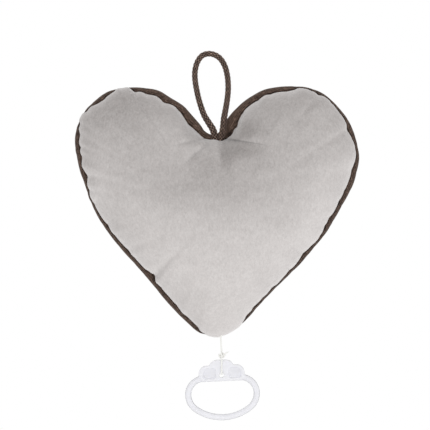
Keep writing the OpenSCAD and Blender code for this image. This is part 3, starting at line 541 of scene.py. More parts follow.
def fibre_material(finishes):
    """Loose white fibre, with painted shade between its tufts."""
    m = Finish("fibre", Roughness=1.0, Sheen_Weight=0.3, Specular_IOR_Level=0.1)
    wool = m.group("Nap", Vector=m.at, Strand=900.0, Tuft=240.0, Tufting=1.0)["Height"]
    c = np.array(finishes.fibre)
    return m.done(m.mix(wool, c * 0.85, c), wool, 0.8, 0.001)


def plastic_material(name, tint, rough, grain, edge=0.0, **fixed):
    """Moulded plastic with a faint orange peel and slight unevenness of gloss. Where edge is given,
    the piece has painted shade of up to edge near its middle plane, where its sides are seen."""
    m = Finish(name, **{"Specular_IOR_Level": 0.45, **fixed})
    peel = m.group("Surface grain", Vector=m.at, Size=700.0)
    patchy = m.group("Cloudy", Vector=m.at, Size=90.0)["Mask"]
    c = np.array(tint)
    tone = m.mix(patchy, c * 0.97, c)
    if edge:
        # Painted shade along the sides, near the middle plane
        inside = m.span(abs(m.part(m.at, "Y")), 0.0009, 0.0017, edge, 0.0)
        tone = m.mix(inside, tone, (0, 0, 0))
    return m.done(tone, peel["Height"], grain, 0.0003,
                  m.span(peel["Mask"], 0.0, 1.0, rough - 0.04, rough + 0.06))


def metal_material(name, tint, rough, stretch):
    """Metal with fine tool marks along one direction and a slight tarnish."""
    m = Finish(name, Metallic=1.0)
    marks = m.group("Surface grain", Vector=m.at, Size=500.0, Stretch=stretch)
    tarnish = m.group("Cloudy", Vector=m.at, Size=160.0)["Mask"]
    c = np.array(tint)
    return m.done(m.mix(tarnish, c * 0.82, c), marks["Height"], 0.12, 0.0001,
                  m.span(marks["Mask"], 0.0, 1.0, rough - 0.07, rough + 0.1))


def floor_material():
    """A pale floor, near white to the camera but for the shadow on it. It fades out between 0.6
    and 1.45 m from its centre and is clear from below."""
    m = Finish("floor", Roughness=0.9, Specular_IOR_Level=0.1, Base_Color=(0.9, 0.9, 0.9, 1))
    white = m.node("Emission", {"Color": (1, 1, 1, 1), "Strength": 1.0})
    camera = m.node("LightPath", output="Is Camera Ray")
    lit = m.node("MixShader", {0: camera * 0.55, 1: Field(m, m.shader.outputs[0]), 2: white})
    far = m.vector("LENGTH", m.vector("MULTIPLY", m.at, (1, 1, 0)), output="Value")
    under = m.node("NewGeometry", output="Backfacing")
    gone = m.maths("MAXIMUM", m.span(far, 0.6, 1.45, soft=True), under)
    seen = m.node("MixShader", {0: gone, 1: lit, 2: m.node("BsdfTransparent")})
    m.feed(seen, m.tree.nodes["Material Output"].inputs["Surface"])
    return m.material


# ---------------------------------------------------------------- the heart's rim

# Stations round the widest line, clockwise from the notch: X and Z in millimetres
RIM = [
    (-2.5, -50.5), (1, -49), (4.5, -44.5), (7.5, -39), (12.5, -32.5), (20.1, -25.2), (28.6, -19.2),
    (38.1, -14.7), (48.5, -12.8), (59, -12.2), (69.5, -13), (79.5, -16), (88.6, -21.9),
    (95.7, -29.3), (102.4, -37.8), (107, -47.3), (110.1, -57.4), (111.7, -68), (110.2, -78.2),
    (107.2, -88.8), (102.6, -98.3), (97.5, -107.3), (92.5, -116.3), (87.1, -125.4), (80.5, -133.9),
    (73.9, -141.8), (67, -149.9), (59.6, -157.6), (52.1, -164.7), (44.6, -172.1), (37.5, -179.5),
    (30.5, -187.4), (23.4, -195.4), (15.1, -202.2), (6.5, -207), (1, -208.6), (-4, -208),
    (-14.1, -205.2), (-22.2, -198.2), (-29.7, -191.2), (-36.7, -183.7), (-43.7, -175.6),
    (-50.1, -167.6), (-57, -159.5), (-64, -151.5), (-71, -144), (-78, -136), (-84.5, -127.5),
    (-90.5, -119), (-95.4, -109.9), (-100, -100), (-103, -90), (-106.5, -80.5), (-109, -70),
    (-110.9, -60), (-110.4, -49), (-107.4, -39.1), (-101.9, -30.1), (-94.4, -23.1), (-86, -17),
    (-75.5, -14.1), (-65.5, -13.2), (-55, -13.7), (-44.5, -16), (-35.5, -21.5), (-26.5, -27),
    (-19.5, -34.5), (-12.5, -42.5), (-9.5, -47), (-6, -49.5),
]

# How far inside the widest line the velvet ends: distance along the line and lap, in millimetres.
# The knit of the back shows between the two.
LAPS = [
    (0, 4.2), (8.9, 9.5), (10.8, 9.8), (13.8, 9.4), (14.3, 10.3), (15.8, 10.3), (31.1, 6.4),
    (46.3, 6.2), (53.7, 5.2), (57.2, 5.6), (75.9, 4.6), (80.8, 2.4), (83.8, 2.2), (91.7, 2.4),
    (95.6, 2.9), (99.1, 4.2), (103, 2.6), (109.4, 2.1), (122.2, 3.3), (129.6, 3.2), (133.6, 3.9),
    (137.5, 5.6), (145.4, 3.9), (152.8, 3.1), (158.7, 3.4), (170.1, 5), (182.9, 5.4), (209.5, 4.2),
    (216.9, 4.9), (223.8, 4.7), (228.7, 3.6), (235.1, 2.9), (242.5, 3.3), (250.4, 4.7),
    (261.7, 3.2), (270.6, 3.2), (282.9, 2.3), (287.4, 3.2), (293.8, 2.6), (307.6, 3.4), (311, 2.8),
    (315, 3.3), (322.4, 1.7), (324.8, 0.4), (353.9, 0.4), (365.8, 4.3), (376.1, 4.4), (381, 3.9),
    (386, 4.6), (398.8, 5), (411.6, 4.3), (413.1, 3.7), (418.5, 6.9), (423.4, 5.1), (427.4, 4.3),
    (441.7, 3.9), (446.1, 4.9), (451.5, 4), (461.4, 4.1), (465.8, 3.4), (471.2, 4), (499.3, 2.4),
    (504.8, 2.9), (508.2, 2.7), (515.6, 5.4), (524, 3.3), (529.9, 4.9), (535.3, 4.5), (538.8, 5.1),
    (543.2, 4.3), (548.1, 4.9), (550.6, 4.5), (554.1, 2.9), (559.5, 2.3), (561, 0.4), (567.9, 0.4),
    (569.3, 2.3), (576.7, 2.4), (580.7, 4.2), (586.6, 4.9), (593.5, 3.8), (599.4, 2.2),
    (600.9, 0.4), (609.8, 0.4), (614.7, 5), (619.6, 4.2), (627.5, 5.9), (633.4, 5.6), (643.3, 6.9),
    (647.2, 5.5), (650.2, 5.2), (670.4, 7.7), (677.3, 6.8), (681.7, 5.4), (689.1, 4.8),
    (689.6, 4.1),
]

# Soft folds of the velvet: two ends, width, and depth at the first end, in millimetres
FOLDS = [
    (9, -54.4, 44, -60, 1.4, 1.2),
    (6, -57, 58, -68, 8, 1.6),
    (3.5, -56, 7, -84, 3.5, 1.6),
    (-10, -54, -38, -60.5, 1.8, 1.1),
    (-7.5, -57, -30, -78, 2.4, 1.2),
    (-1, -58, -6, -82, 3.5, 0.7),
    (-51, -162, -40, -157, 2.8, 0.5),
]

# Sharp creases with painted shade: two ends, width at the first and its darkness, in millimetres
CREASES = [
    (5, -53.8, 38, -59.2, 1.6, 0.62),
    (-9, -54, -37, -61, 3.0, 0.16),
    (-6.5, -58.5, -27, -76, 2.8, 0.18),
    (-50, -161, -41, -157.5, 2.2, 0.1),
]
KNIT_CREASES = [(9.3, -51.5, 8.2, -38.5, 1.5, 0.75), (10.6, -51.5, 12.6, -40.5, 1.3, 0.6)]

# Patches where the velvet is darker (below 0) or lighter (above 0), those about the notch being
# painted light and shade of its folds: X, Z, width to the left and to the right, height and
# amount. It changes abruptly at the crease below the notch.
TONE_AND_SHADE_PATCHES = [
    (4.5, -62, 1.6, 20, 11, -1.15), (23, -46, 9, 12, 7, -0.7), (34, -62, 20, 26, 16, -0.6),
    (-20, -88, 34, 34, 17, -0.75), (20, -94, 32, 32, 18, -0.5), (-76, -36, 16, 16, 20, -0.5),
    (-8, -144, 42, 42, 28, 0.75), (-94, -96, 14, 14, 24, 0.65), (84, -106, 16, 16, 26, 0.35),
    (50, -150, 14, 14, 20, 0.5), (-30, -168, 14, 14, 16, 0.45), (60, -84, 26, 26, 16, -0.2),
    (-11, -62, 11, 4, 5, 0.6), (-1, -64, 3.5, 3, 9, 0.6), (-32, -46, 16, 10, 12, 0.6),
    (-62, -96, 22, 22, 22, 0.3), (104, -76, 7, 8, 12, 0.6), (0, -188, 26, 24, 14, 0.45),
    (70, -128, 9, 12, 14, 0.5), (-92, -94, 9, 9, 12, 0.4),
]

# Ways from the middle of the view to a lamp below, whose light and shade are painted into the
# velvet, and to the front softbox, whose shading the painting divides back out
PAINTED_LAMP_WAY = np.array([0.296, -0.533, -0.793])       # the way to the painted lamp
FRONT_SOFTBOX_WAY = np.array([0.152, -0.963, -0.222])

RIM_STEPS = 1440         # about half a millimetre each


class Rim:
    """The widest line of the heart in equal steps, from its stations.

    at holds X and Z, soft the same line with its corners rounded off, inward the unit vector
    towards the inside, lap the distance from the widest line to the velvet's edge, front is 1
    where the velvet reaches that line, and creases holds the places of the seam's gathers, each
    with its depth, width, length and lean."""

    def __init__(self):
        line, self.length = route(np.array(RIM) * MM, RIM_STEPS, closed=True)
        self.at = softened(line, 2)             # each width is in steps
        self.soft = softened(self.at, 44)
        along = softened(np.roll(self.at, -1, 0) - np.roll(self.at, 1, 0), 9)
        along /= np.linalg.norm(along, axis=1, keepdims=True)
        self.inward = np.stack([along[:, 1], -along[:, 0]], 1)
        far, lap = np.array(LAPS).T * MM
        self.lap = softened(np.interp(np.arange(RIM_STEPS) * self.length / RIM_STEPS, far, lap), 1)
        self.front = softened(1 - step(0, 3 * MM, self.lap), 11)
        chance = np.random.RandomState(11)
        spots = np.cumsum(chance.uniform(7, 20, 200) * MM)
        spots = spots[spots < self.length - 5 * MM]
        k = len(spots)
        self.creases = np.stack([
            spots, chance.uniform(0.35, 1.0, k), chance.uniform(1.3, 2.4, k) * MM,
            chance.uniform(4, 11, k) * MM, chance.uniform(-0.35, 0.35, k)], 1)

    def gathers(self, turn, share, deep):
        """The most, over the seam's creases, of depth * exp(-side/width) * exp(-deep/length). side
        is the distance to the crease along the rim, shrinking with share towards the crown, and
        the width grows with the distance from the edge."""
        most = np.zeros(np.shape(turn))
        for spot, depth, width, length, lean in self.creases:
            side = (turn - spot / self.length + 0.5) % 1 - 0.5
            side = np.abs(side * self.length * np.maximum(share, 0.2) - lean * deep)
            here = depth * np.exp(-side / (width + 0.16 * deep)) * np.exp(-deep / length)
            most = np.maximum(most, here)
        return most


WAVES = 14


def stuffing(x, z, size, seed):
    """Soft lumps: the sum of WAVES sine waves of random direction, with lengths near size, over
    the square root of WAVES."""
    chance = np.random.RandomState(seed)
    total = 0
    for _ in range(WAVES):
        angle, phase = chance.uniform(0, FULL_TURN, 2)
        k = FULL_TURN / (size * chance.uniform(0.7, 1.5))
        total = total + np.sin(k * (x * math.cos(angle) + z * math.sin(angle)) + phase)
    return total / math.sqrt(WAVES)


def fold_depth(x, z):
    """Sum over the folds of depth * exp(-(side/width)^2), widening and fading out towards the far
    end."""
    total = np.zeros(np.shape(x))
    for x0, z0, x1, z1, width, depth in np.array(FOLDS) * MM:
        dx, dz = x1 - x0, z1 - z0
        long = math.hypot(dx, dz)
        t = ((x - x0) * dx + (z - z0) * dz) / long ** 2
        side = np.abs((x - x0) * dz - (z - z0) * dx) / long
        fade = step(-0.12, 0.04, t) * (1 - step(0.25, 1.0, t))
        total += depth * np.exp(-(side / (width * (0.7 + 0.6 * np.clip(t, 0, 1)))) ** 2) * fade
    return total


# ---------------------------------------------------------------- the stuffed panels

LIP_RINGS = 6            # rings of the velvet's grid that turn in to the seam
ROLL_RINGS = 12          # rings of the knit's grid that roll forward to it
LIP = 1.5 * MM           # how far the velvet's edge turns in
PROUD = 1.6 * MM         # how far the velvet's edge stands in front of the seam
SEAM_BACK = 1.0 * MM     # how far in front of the widest line the seam lies beside the velvet
SWELLING = 9 * MM        # how far in from its edge the velvet swells
ROUND = 88 * MM          # mean distance of the rim from the crown

# Soft lumps of the panels: height and size in millimetres, seed, and the power of the distance
# from the crown by which they fade out at the rim
FRONT_LUMPS = [(0.45, 46, 3, 6), (0.16, 15, 5, 10)]
BACK_LUMPS = [(0.5, 44, 8, 6), (0.2, 17, 9, 8)]


def seam_level(rim, turn, sizes):
    """Y of the seam: level with the middle plane where the knit laps round to the front, and just
    in front of the widest line where the velvet reaches it."""
    return (sizes.belly - SEAM_BACK) * around(rim.front, turn)


def eased(rim, turn, share):
    """The rim at a turn, with its corners rounded off towards the crown: the share s^5 of the rim
    itself and the rest of its softened line."""
    own = (share ** 5)[..., None]
    return around(rim.at, turn) * own + around(rim.soft, turn) * (1 - own)


def crowned(edge, share, rim_y, top_y, sizes):
    """A dome over an edge: a point at share s of the way from the crown lies at
    crown + s * ((1 - w) + w * ROUND / |v|) * v with v = edge - crown and w = (1 - s)^2, and its
    height above the rim is (1 - s^2.4)^0.6 of the whole."""
    crown = np.array([0, -sizes.crown])
    v = edge - crown
    far = np.linalg.norm(v, axis=-1, keepdims=True)
    s = share[..., None]
    w = (1 - s) ** 2
    flat = crown + s * ((1 - w) + w * ROUND / far) * v
    y = rim_y + (top_y - rim_y) * (1 - np.minimum(share, 1) ** 2.4) ** 0.6
    return np.stack([flat[..., 0], y, flat[..., 1]], -1)


def edged(share, rings, n):
    """Share of the way from the crown to the dome's edge, with the grid's rings closer near it,
    and how far round, up to 90 degrees, the cloth has turned in its last rings."""
    start = 1 - rings / (n / 2)
    s = 1 - (1 - np.clip(share / start, 0, 1)) ** 1.6
    return s, np.clip((share - start) / (1 - start), 0, 1) * math.pi / 2


def lumpy(away, p, s, lumps):
    """How far the cloth is moved, with the panel's lumps added."""
    for height, size, seed, power in lumps:
        soft = stuffing(p[..., 0], p[..., 2], size * MM, seed)
        away = away + height * MM * soft * (1 - s ** power)
    return away


def front_surface(rim, share, turn, n, sizes):
    """The velvet's outer side: a dome to its edge, then a rounded lip that turns in to the seam.

    It is moved along its normal by soft lumps, by the folds, and near the edge by a swelling
    that the seam's gathers cut into, less in the last 5 mm. The edge is drawn in by 0.3 mm."""
    s, phi = edged(share, LIP_RINGS, n)
    inward = around(rim.inward, turn)
    seam_y = seam_level(rim, turn, sizes)
    edge_y = seam_y - PROUD
    edge = eased(rim, turn, s) + inward * around(rim.lap, turn)[..., None]
    p = crowned(edge, s, edge_y, -sizes.front_depth, sizes)
    p[..., [0, 2]] += inward * (LIP * (1 - np.cos(phi)))[..., None]
    p[..., 1] += (seam_y - edge_y) * np.sin(phi)
    out = facing(p)
    deep = np.linalg.norm(p - np.stack([edge[..., 0], edge_y, edge[..., 1]], -1), axis=-1)
    gather = rim.gathers(turn, s, deep) * (0.35 + 0.65 * step(0, 5 * MM, deep))
    near = np.exp(-deep / SWELLING)
    away = sizes.puff * near * (1 - gather) - sizes.pucker * gather - 0.3 * MM * near
    away = lumpy(away, p, s, FRONT_LUMPS)
    away -= fold_depth(p[..., 0], p[..., 2])
    away *= np.cos(phi) ** 0.8
    return p + out * away[..., None]


def seam_distance(lap, share, n):
    """How far a point of the knit lies from the seam, along the cloth, which is about 90 mm from
    the crown to the widest line."""
    s, phi = edged(share, ROLL_RINGS, n)
    return (math.pi / 2 - phi) * (lap + LIP) + (1 - s) * 90 * MM


def seam_place(rim, share, turn, n, p):
    """What the knit's ribs follow: distance along the seam and distance from it."""
    far = seam_distance(around(softened(rim.lap, 11), turn), share, n)
    return np.stack([turn * rim.length, far, 0 * far], -1).reshape(-1, 3)


def back_surface(rim, share, turn, n, sizes):
    """The knit's outer side: a dome behind the widest line, and in front of it a quarter of an
    ellipse that rolls forward and inward to the seam. It is moved along its normal by soft lumps
    and by the seam's gathers."""
    s, phi = edged(share, ROLL_RINGS, n)
    lap = around(rim.lap, turn)
    p = crowned(eased(rim, turn, s), s, sizes.belly, sizes.back_depth, sizes)
    p[..., [0, 2]] += around(rim.inward, turn) * ((lap + LIP) * (1 - np.cos(phi)))[..., None]
    p[..., 1] += (seam_level(rim, turn, sizes) - sizes.belly) * np.sin(phi)
    gather = rim.gathers(turn, s, seam_distance(lap, share, n) * 0.8)
    away = lumpy(-0.7 * sizes.pucker * gather * np.cos(phi) ** 0.5, p, s, BACK_LUMPS)
    return p + -facing(p) * away[..., None]


RADIAL, ROUNDABOUT = 180, 360      # steps of the lines along which the flat cloth is measured


def flat_map(rim, surface, share, turn, n, sizes):
    """Where each point lay on the flat cloth: its distance along the surface from the crown, laid
    off in the direction of its place on the rim."""
    steps = np.linspace(0, 1, RADIAL + 1)
    turns = np.arange(ROUNDABOUT + 1) / ROUNDABOUT
    lines = surface(rim, *np.meshgrid(steps, turns, indexing="ij"), n, sizes)
    run = np.zeros(lines.shape[:2])
    run[1:] = np.cumsum(np.linalg.norm(np.diff(lines, axis=0), axis=-1), axis=0)
    i, j = share * RADIAL, turn % 1 * ROUNDABOUT
    i0 = np.minimum(np.floor(i).astype(int), RADIAL - 1)
    j0 = np.minimum(np.floor(j).astype(int), ROUNDABOUT - 1)
    u, v = i - i0, j - j0
    far = ((run[i0, j0] * (1 - u) + run[i0 + 1, j0] * u) * (1 - v)
           + (run[i0, j0 + 1] * (1 - u) + run[i0 + 1, j0 + 1] * u) * v)
    way = around(rim.at, turn) - np.array([0, -sizes.crown])
    way /= np.linalg.norm(way, axis=-1, keepdims=True)
    return (way * far[..., None]).reshape(-1, 2)


def pile_and_painted_light(rim, share, turn, n, p):
    """How light the velvet is painted, about -2 to 2: a sum of amount * exp(-(x/w)^2 - (z/h)^2)
    over the patches, a painted sheen where the cloth turns over the seam, and the painted light
    and shade of a lamp below, lighter the more the cloth faces down: 6 ((0.78 + 0.44 a) /
    (0.85 + 0.17 b) - 1), with a and b the cosines to that lamp's way and to the front
    softbox's way, so that the real lights' level and the softbox's shading are divided out."""
    x, z = p[..., 0] / MM, p[..., 2] / MM
    down, ahead = (np.maximum(facing(p) @ way, 0) for way in (PAINTED_LAMP_WAY, FRONT_SOFTBOX_WAY))
    # Painted sheen where the cloth turns over the seam, and the painted lamp's light and shade
    total = 0.85 * step(0.78, 0.96, share) + 6 * ((0.78 + 0.44 * down) / (0.85 + 0.17 * ahead) - 1)
    for at_x, at_z, left, right, tall, amount in TONE_AND_SHADE_PATCHES:
        wide = np.where(x < at_x, left, right)
        total = total + amount * np.exp(-((x - at_x) / wide) ** 2 - ((z - at_z) / tall) ** 2)
    return total.ravel()


# ---------------------------------------------------------------- settling the cloth

COARSE = 3               # fine steps to one step of the simulated sheet
FRAMES = 16              # frames that the cloth settles for
PRESSURE = 15.0          # the filling's push from inside
SLACK = 0.03             # how much too long the cloth is near the seam
MOST_OUT = 1.0 * MM      # how far the cloth may move outwards
MOST_IN = 0.2 * MM       # and inwards, where the filling holds it
# Shares of the way from the crown to the seam: where the slack sets in, where the cloth is held,
# and where its moves fade out
LOOSE, HELD, FADING = (0.6, 0.85), 0.88, (0.86, 0.94)


def weigh(piece, name, weights):
    """A vertex group with the weights in ten steps."""
    group = piece.vertex_groups.new(name=name)
    for tenth in range(1, 11):
        here = np.flatnonzero(np.round(weights.ravel() * 10) == tenth)
        group.add(here.tolist(), tenth / 10, "REPLACE")


def simulated(p, share, flip):
    """Where the points of a coarse panel go in a short cloth simulation without gravity.

    The seam is held, the cloth is too long for its place near the seam, as gathered cloth is, and
    the filling's soft pressure holds it up."""
    scene = bpy.context.scene
    faces = cells(*share.shape)
    sheet = make_mesh("settling_sheet", p.reshape(-1, 3), faces[:, ::-1] if flip else faces)
    weigh(sheet, "held", np.where(share > HELD, 1.0, 0.2))
    weigh(sheet, "loose", step(*LOOSE, share))
    cloth = sheet.modifiers.new("Settle", "CLOTH")
    make = cloth.settings
    make.quality, make.mass = 6, 0.002
    make.tension_stiffness = make.compression_stiffness = 5
    make.shear_stiffness, make.bending_stiffness = 2, 0.05
    make.effector_weights.gravity = 0
    make.vertex_group_mass, make.pin_stiffness = "held", 1.0
    make.use_pressure, make.uniform_pressure_force = True, PRESSURE
    make.vertex_group_shrink, make.shrink_min, make.shrink_max = "loose", 0.0, -SLACK
    cloth.collision_settings.use_collision = False
    cloth.point_cache.frame_start, cloth.point_cache.frame_end = 1, FRAMES
    for number in range(1, FRAMES + 1):
        scene.frame_set(number)
    final = sheet.evaluated_get(bpy.context.evaluated_depsgraph_get()).to_mesh()
    places = np.empty(3 * len(final.vertices))
    final.vertices.foreach_get("co", places)
    mesh = sheet.data
    bpy.data.objects.remove(sheet)
    bpy.data.meshes.remove(mesh)
    scene.frame_set(1)
    return places.reshape(p.shape)


def settled(p, share, flip):
    """The panel after a cloth simulation of every third point. The moves are capped, carried over
    to the points between, averaged three times, and faded out towards the seam."""
    coarse = p[::COARSE, ::COARSE]
    move = simulated(coarse, share[::COARSE, ::COARSE], flip) - coarse
    out = facing(coarse) * (-1 if flip else 1)
    rise = np.sum(move * out, axis=-1, keepdims=True)
    move += (np.clip(rise, -MOST_IN, MOST_OUT) - rise) * out
    long = np.linalg.norm(move, axis=-1, keepdims=True)
    move *= np.minimum(1, MOST_OUT / np.maximum(long, 1e-9))
    fine = np.arange(len(p))
    low = np.minimum(fine // COARSE, len(coarse) - 2)
    part = (fine - low * COARSE)[:, None, None] / COARSE
    for _ in range(2):                  # once along each side of the grid
        move = (move[low] * (1 - part) + move[low + 1] * part).swapaxes(0, 1)
    for _ in range(6):                  # three times along each
        ends = np.concatenate([move[:1], move, move[-1:]])
        move = ((ends[:-2] + ends[1:-1] + ends[2:]) / 3).swapaxes(0, 1)
    return p + move * (1 - step(*FADING, share))[..., None]


def cloth_panel(name, surface, sizes, flip, label, value):
    """A panel as one sheet over the square grid, given its thickness inwards. value works out what
    its material reads, which is kept under label, and flip turns its faces to the back."""
    n = sizes.grid
    rim = Rim()
    share, turn = disc_grid(n)
    p = surface(rim, share, turn, n, sizes)
    p = settled(p, share, flip)
    faces = cells(n + 1, n + 1)
    piece = make_mesh(name, p.reshape(-1, 3), faces[:, ::-1] if flip else faces,
                      uv=flat_map(rim, surface, share, turn, n, sizes),
                      values=value(rim, share, turn, n, p), label=label)
    wall = piece.modifiers.new("Cloth thickness", "SOLIDIFY")
    wall.thickness = sizes.cloth
    wall.offset = -1
    return piece


def front_panel_piece(sizes, finishes):
    """The velvet front."""
    piece = cloth_panel("velvet_front", front_surface, sizes, False, "pile_and_painted_light", pile_and_painted_light)
    place(piece, "heart", ["front_panel"], velvet_material(finishes))


def back_panel_piece(sizes, finishes):
    """The knitted back, which rolls round the widest line to the seam."""
    piece = cloth_panel("knitted_back", back_surface, sizes, True, "seam", seam_place)
    place(piece, "heart", ["back_panel"], knit_material(finishes))


FIBRE_GRID = 84          # cells along each side of the filling's grid
CHAMBER_SIDES = 72       # sides of the round chamber for the case
CHAMBER_GAP = 0.5 * MM   # its clearance round the case
UNDER_CLOTH = 2.6 * MM   # how far inside the panels' outer sides the filling ends


def border(n):
    """Indices of a square grid's outer points, clockwise from the lower left corner."""
    v = np.arange((n + 1) ** 2).reshape(n + 1, n + 1)
    return np.concatenate([v[:-1, 0], v[-1, :-1], v[:0:-1, -1], v[0, :0:-1]])


def chamber():
    """Two circles of points, before and behind the case with a gap all round."""
    boxes = np.array([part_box("case_base"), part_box("case_cover")])
    low, high = boxes[:, 0].min(0), boxes[:, 1].max(0)
    wide = (high[0] - low[0]) / 2 + CHAMBER_GAP
    angle = np.linspace(0, FULL_TURN, CHAMBER_SIDES, endpoint=False)
    middle_x, middle_z = (low[0] + high[0]) / 2, high[2] - (high[0] - low[0]) / 2
    circle = np.stack([middle_x + wide * np.cos(angle), 0 * angle,
                       middle_z + wide * np.sin(angle)], -1)
    return np.vstack([circle + (0, y, 0) for y in (low[1] - CHAMBER_GAP, high[1] + CHAMBER_GAP)])


def filling_piece(sizes, finishes):
    """Loose fibre: lumpy surfaces a little inside the two panels, joined along the rim, with a
    round chamber left for the movement's case."""
    n, fine = FIBRE_GRID, sizes.grid
    rim = Rim()
    share, turn = disc_grid(n)
    layers = []
    for surface, rings, seed, side in ((front_surface, LIP_RINGS, 21, -1),
                                       (back_surface, ROLL_RINGS, 22, 1)):
        p = surface(rim, share * (1 - rings / (fine / 2)), turn, fine, sizes)
        tufts = 0.5 * MM * stuffing(p[..., 0], p[..., 2], 6 * MM, seed)
        layers.append((p + side * facing(p) * (UNDER_CLOTH - tufts)[..., None]).reshape(-1, 3))
    count = (n + 1) ** 2
    a, b = border(n), border(n) + count
    strip = np.stack([a, b, np.roll(b, -1), np.roll(a, -1)], -1)
    first = 2 * count
    sides = np.arange(CHAMBER_SIDES)
    piece = make_mesh("fibre", np.vstack(layers + [chamber()]), [
        cells(n + 1, n + 1), cells(n + 1, n + 1, count)[:, ::-1], strip,
        cells(2, CHAMBER_SIDES, first, wrap=True)[:, ::-1],
        first + sides[None], first + CHAMBER_SIDES + sides[None, ::-1]])
    place(piece, "heart", ["fibre_filling"], fibre_material(finishes))


# ---------------------------------------------------------------- cords

LOOP_ROUTE = [
    (-1.5, 0, -61), (-1.2, 0, -54), (-2.6, 0, -47), (-6.2, 0, -41), (-9.5, 0, -35.5),
    (-11.8, 0, -29.5), (-13.8, 0, -23), (-15.4, 0, -16), (-16.7, 0, -8), (-16.8, 0, -1),
    (-15, 0, 6), (-11.4, 0, 11), (-6.3, 0, 12.7), (-1, 0, 11.6), (3.4, 0, 8.3), (6.7, 0, 2.4),
    (8.5, 0, -5), (9.1, 0, -13), (8.6, 0, -21), (7.2, 0, -30), (5.8, 0, -38), (5.2, 0, -45),
    (4.2, 0, -52), (3.2, 0, -61),
]
CORD_ROUTE = [(4, 0, -122), (4, 0, -160), (3.8, 0, -190), (3.5, 0, -205), (3.4, -0.1, -210),
              (3.7, -0.1, -216), (4, 0, -221.4)]
KNOT = np.array([4, 0, -223]) * MM
# The two cut ends of the knot, from its centre
KNOT_ENDS = [[(1.2, -0.5, -1.4), (2.2, -0.8, 0.4), (3.0, -0.8, 1.8), (4.4, -0.7, 2.9)],
             [(-0.6, -0.3, -1.4), (-1.6, -0.8, -0.8), (-2.2, -0.9, 0.4)]]
# Y and Z of the loop below the knot, from its centre
UNDER_KNOT = [
    (-0.4, 2.8), (-1.6, 2.0), (-2, 0.4), (-2.2, -1.6), (-2.6, -3.2), (-2.75, -6), (-2.75, -10),
    (-2.75, -12.2), (-2.45, -13.3), (-1.7, -13.9), (0, -13.9), (1.7, -13.9), (2.45, -13.3),
    (2.75, -12.2), (2.75, -10), (2.75, -6), (2.6, -3.2), (2, -2), (1.2, -1.2),
]
BACK, RIGHT = (0, 1, 0), (1, 0, 0)       # directions that a cord's profile starts from


def braid(angle, run, count, pitch):
    """Height, 0 to 1, of a round braid: count strands wind each way, each with a cos^2 profile,
    and they take turns to pass over each other."""
    a = count * angle / FULL_TURN + run / pitch
    b = count * angle / FULL_TURN - run / pitch
    over = np.cos(math.pi * np.round(a)) * np.cos(math.pi * np.round(b))
    return np.maximum(np.cos(math.pi * a) ** 2 * (0.78 + 0.22 * over),
                      np.cos(math.pi * b) ** 2 * (0.78 - 0.22 * over))


def loop_weave(angle, run):
    """The hanging loop's braid: six strands each way."""
    return braid(angle, run, 6, 2.9 * MM)


def cord_weave(angle, run):
    """The pull cord's braid: four strands each way."""
    return braid(angle, run, 4, 1.0 * MM)


def tube(path, radius, sides, side=BACK, relief=cord_weave, depth=0.12, closed=False, thin=None):
    """A round profile carried along a path: ring points at p + r (cos a u + sin a v), where u is
    the part of side square to the path and v = tangent x u. relief lowers the surface by up to
    depth of the radius, and thin scales each ring. Returns points, faces, map and relief."""
    ahead, behind = np.roll(path, -1, 0), np.roll(path, 1, 0)
    if not closed:
        ahead[-1], behind[0] = path[-1], path[0]
    t = ahead - behind
    t /= np.linalg.norm(t, axis=1, keepdims=True)
    side = np.broadcast_to(np.asarray(side, float), path.shape)
    u = side - (side * t).sum(1, keepdims=True) * t
    u /= np.linalg.norm(u, axis=1, keepdims=True)
    v = np.cross(t, u)
    angle = np.arange(sides) * 2 * math.pi / sides
    run = np.r_[0, np.cumsum(np.linalg.norm(np.diff(path, axis=0), axis=1))]
    a, far = np.meshgrid(angle, run)
    height = relief(a, far) if relief else np.ones(a.shape)
    r = radius * (1 - depth * (1 - height))
    if thin is not None:
        r = r * thin[:, None]
    r, cos, sin = r[..., None], np.cos(a)[..., None], np.sin(a)[..., None]
    points = (path[:, None] + r * (cos * u[:, None] + sin * v[:, None])).reshape(-1, 3)
    rows = len(path)
    faces = [cells(rows, sides, wrap=True, closed=closed)]
    a, far, height = a.ravel(), far.ravel(), height.ravel()
    if not closed:
        # Both ends are closed by triangles to the path's own end points
        last, ring = rows * sides, np.arange(sides)
        tail = last - sides + ring
        faces += [np.stack([np.full(sides, last), np.roll(ring, -1), ring], -1),
                  np.stack([np.full(sides, last + 1), tail, np.roll(tail, -1)], -1)]
        points = np.vstack([points, path[:1], path[-1:]])
        height = np.r_[height, height[:sides].mean(), height[-sides:].mean()]
        a, far = np.r_[a, 0, 0], np.r_[far, 0, run[-1]]
    return points, faces, np.stack([a * radius, far], 1), height


def yarn_piece(name, *tubes):
    """One mesh of several tubes."""
    points, faces, first = [], [], 0
    for p, f, _, _ in tubes:
        points.append(p)
        faces += [q + first for q in f]
        first += len(p)
    return make_mesh(name, np.vstack(points), faces, uv=np.vstack([t[2] for t in tubes]),
                     values=np.concatenate([t[3] for t in tubes]))


def hanging_loop_piece(cords, finishes):
    """The braided loop, sewn into the seam at the notch at both ends, where it is pressed a little
    wider."""
    count = 760
    path, length = route(np.array(LOOP_ROUTE) * MM, count)
    from_end = np.minimum(np.arange(count), np.arange(count)[::-1]) * length / count
    thick = 1.05 + 0.28 * np.exp(-(from_end / (24 * MM)) ** 2)
    piece = yarn_piece("braided_loop", tube(path, cords.loop / 2, 60, relief=loop_weave,
                                            depth=0.26, thin=thick))
    # The braid's grooves get painted shade of 0.06 times its colour
    place(piece, "heart", ["hanging_loop"],
          yarn_material("braid", finishes.braid, 0.06, fine=1500.0, lively=1.1, groove=0.45))


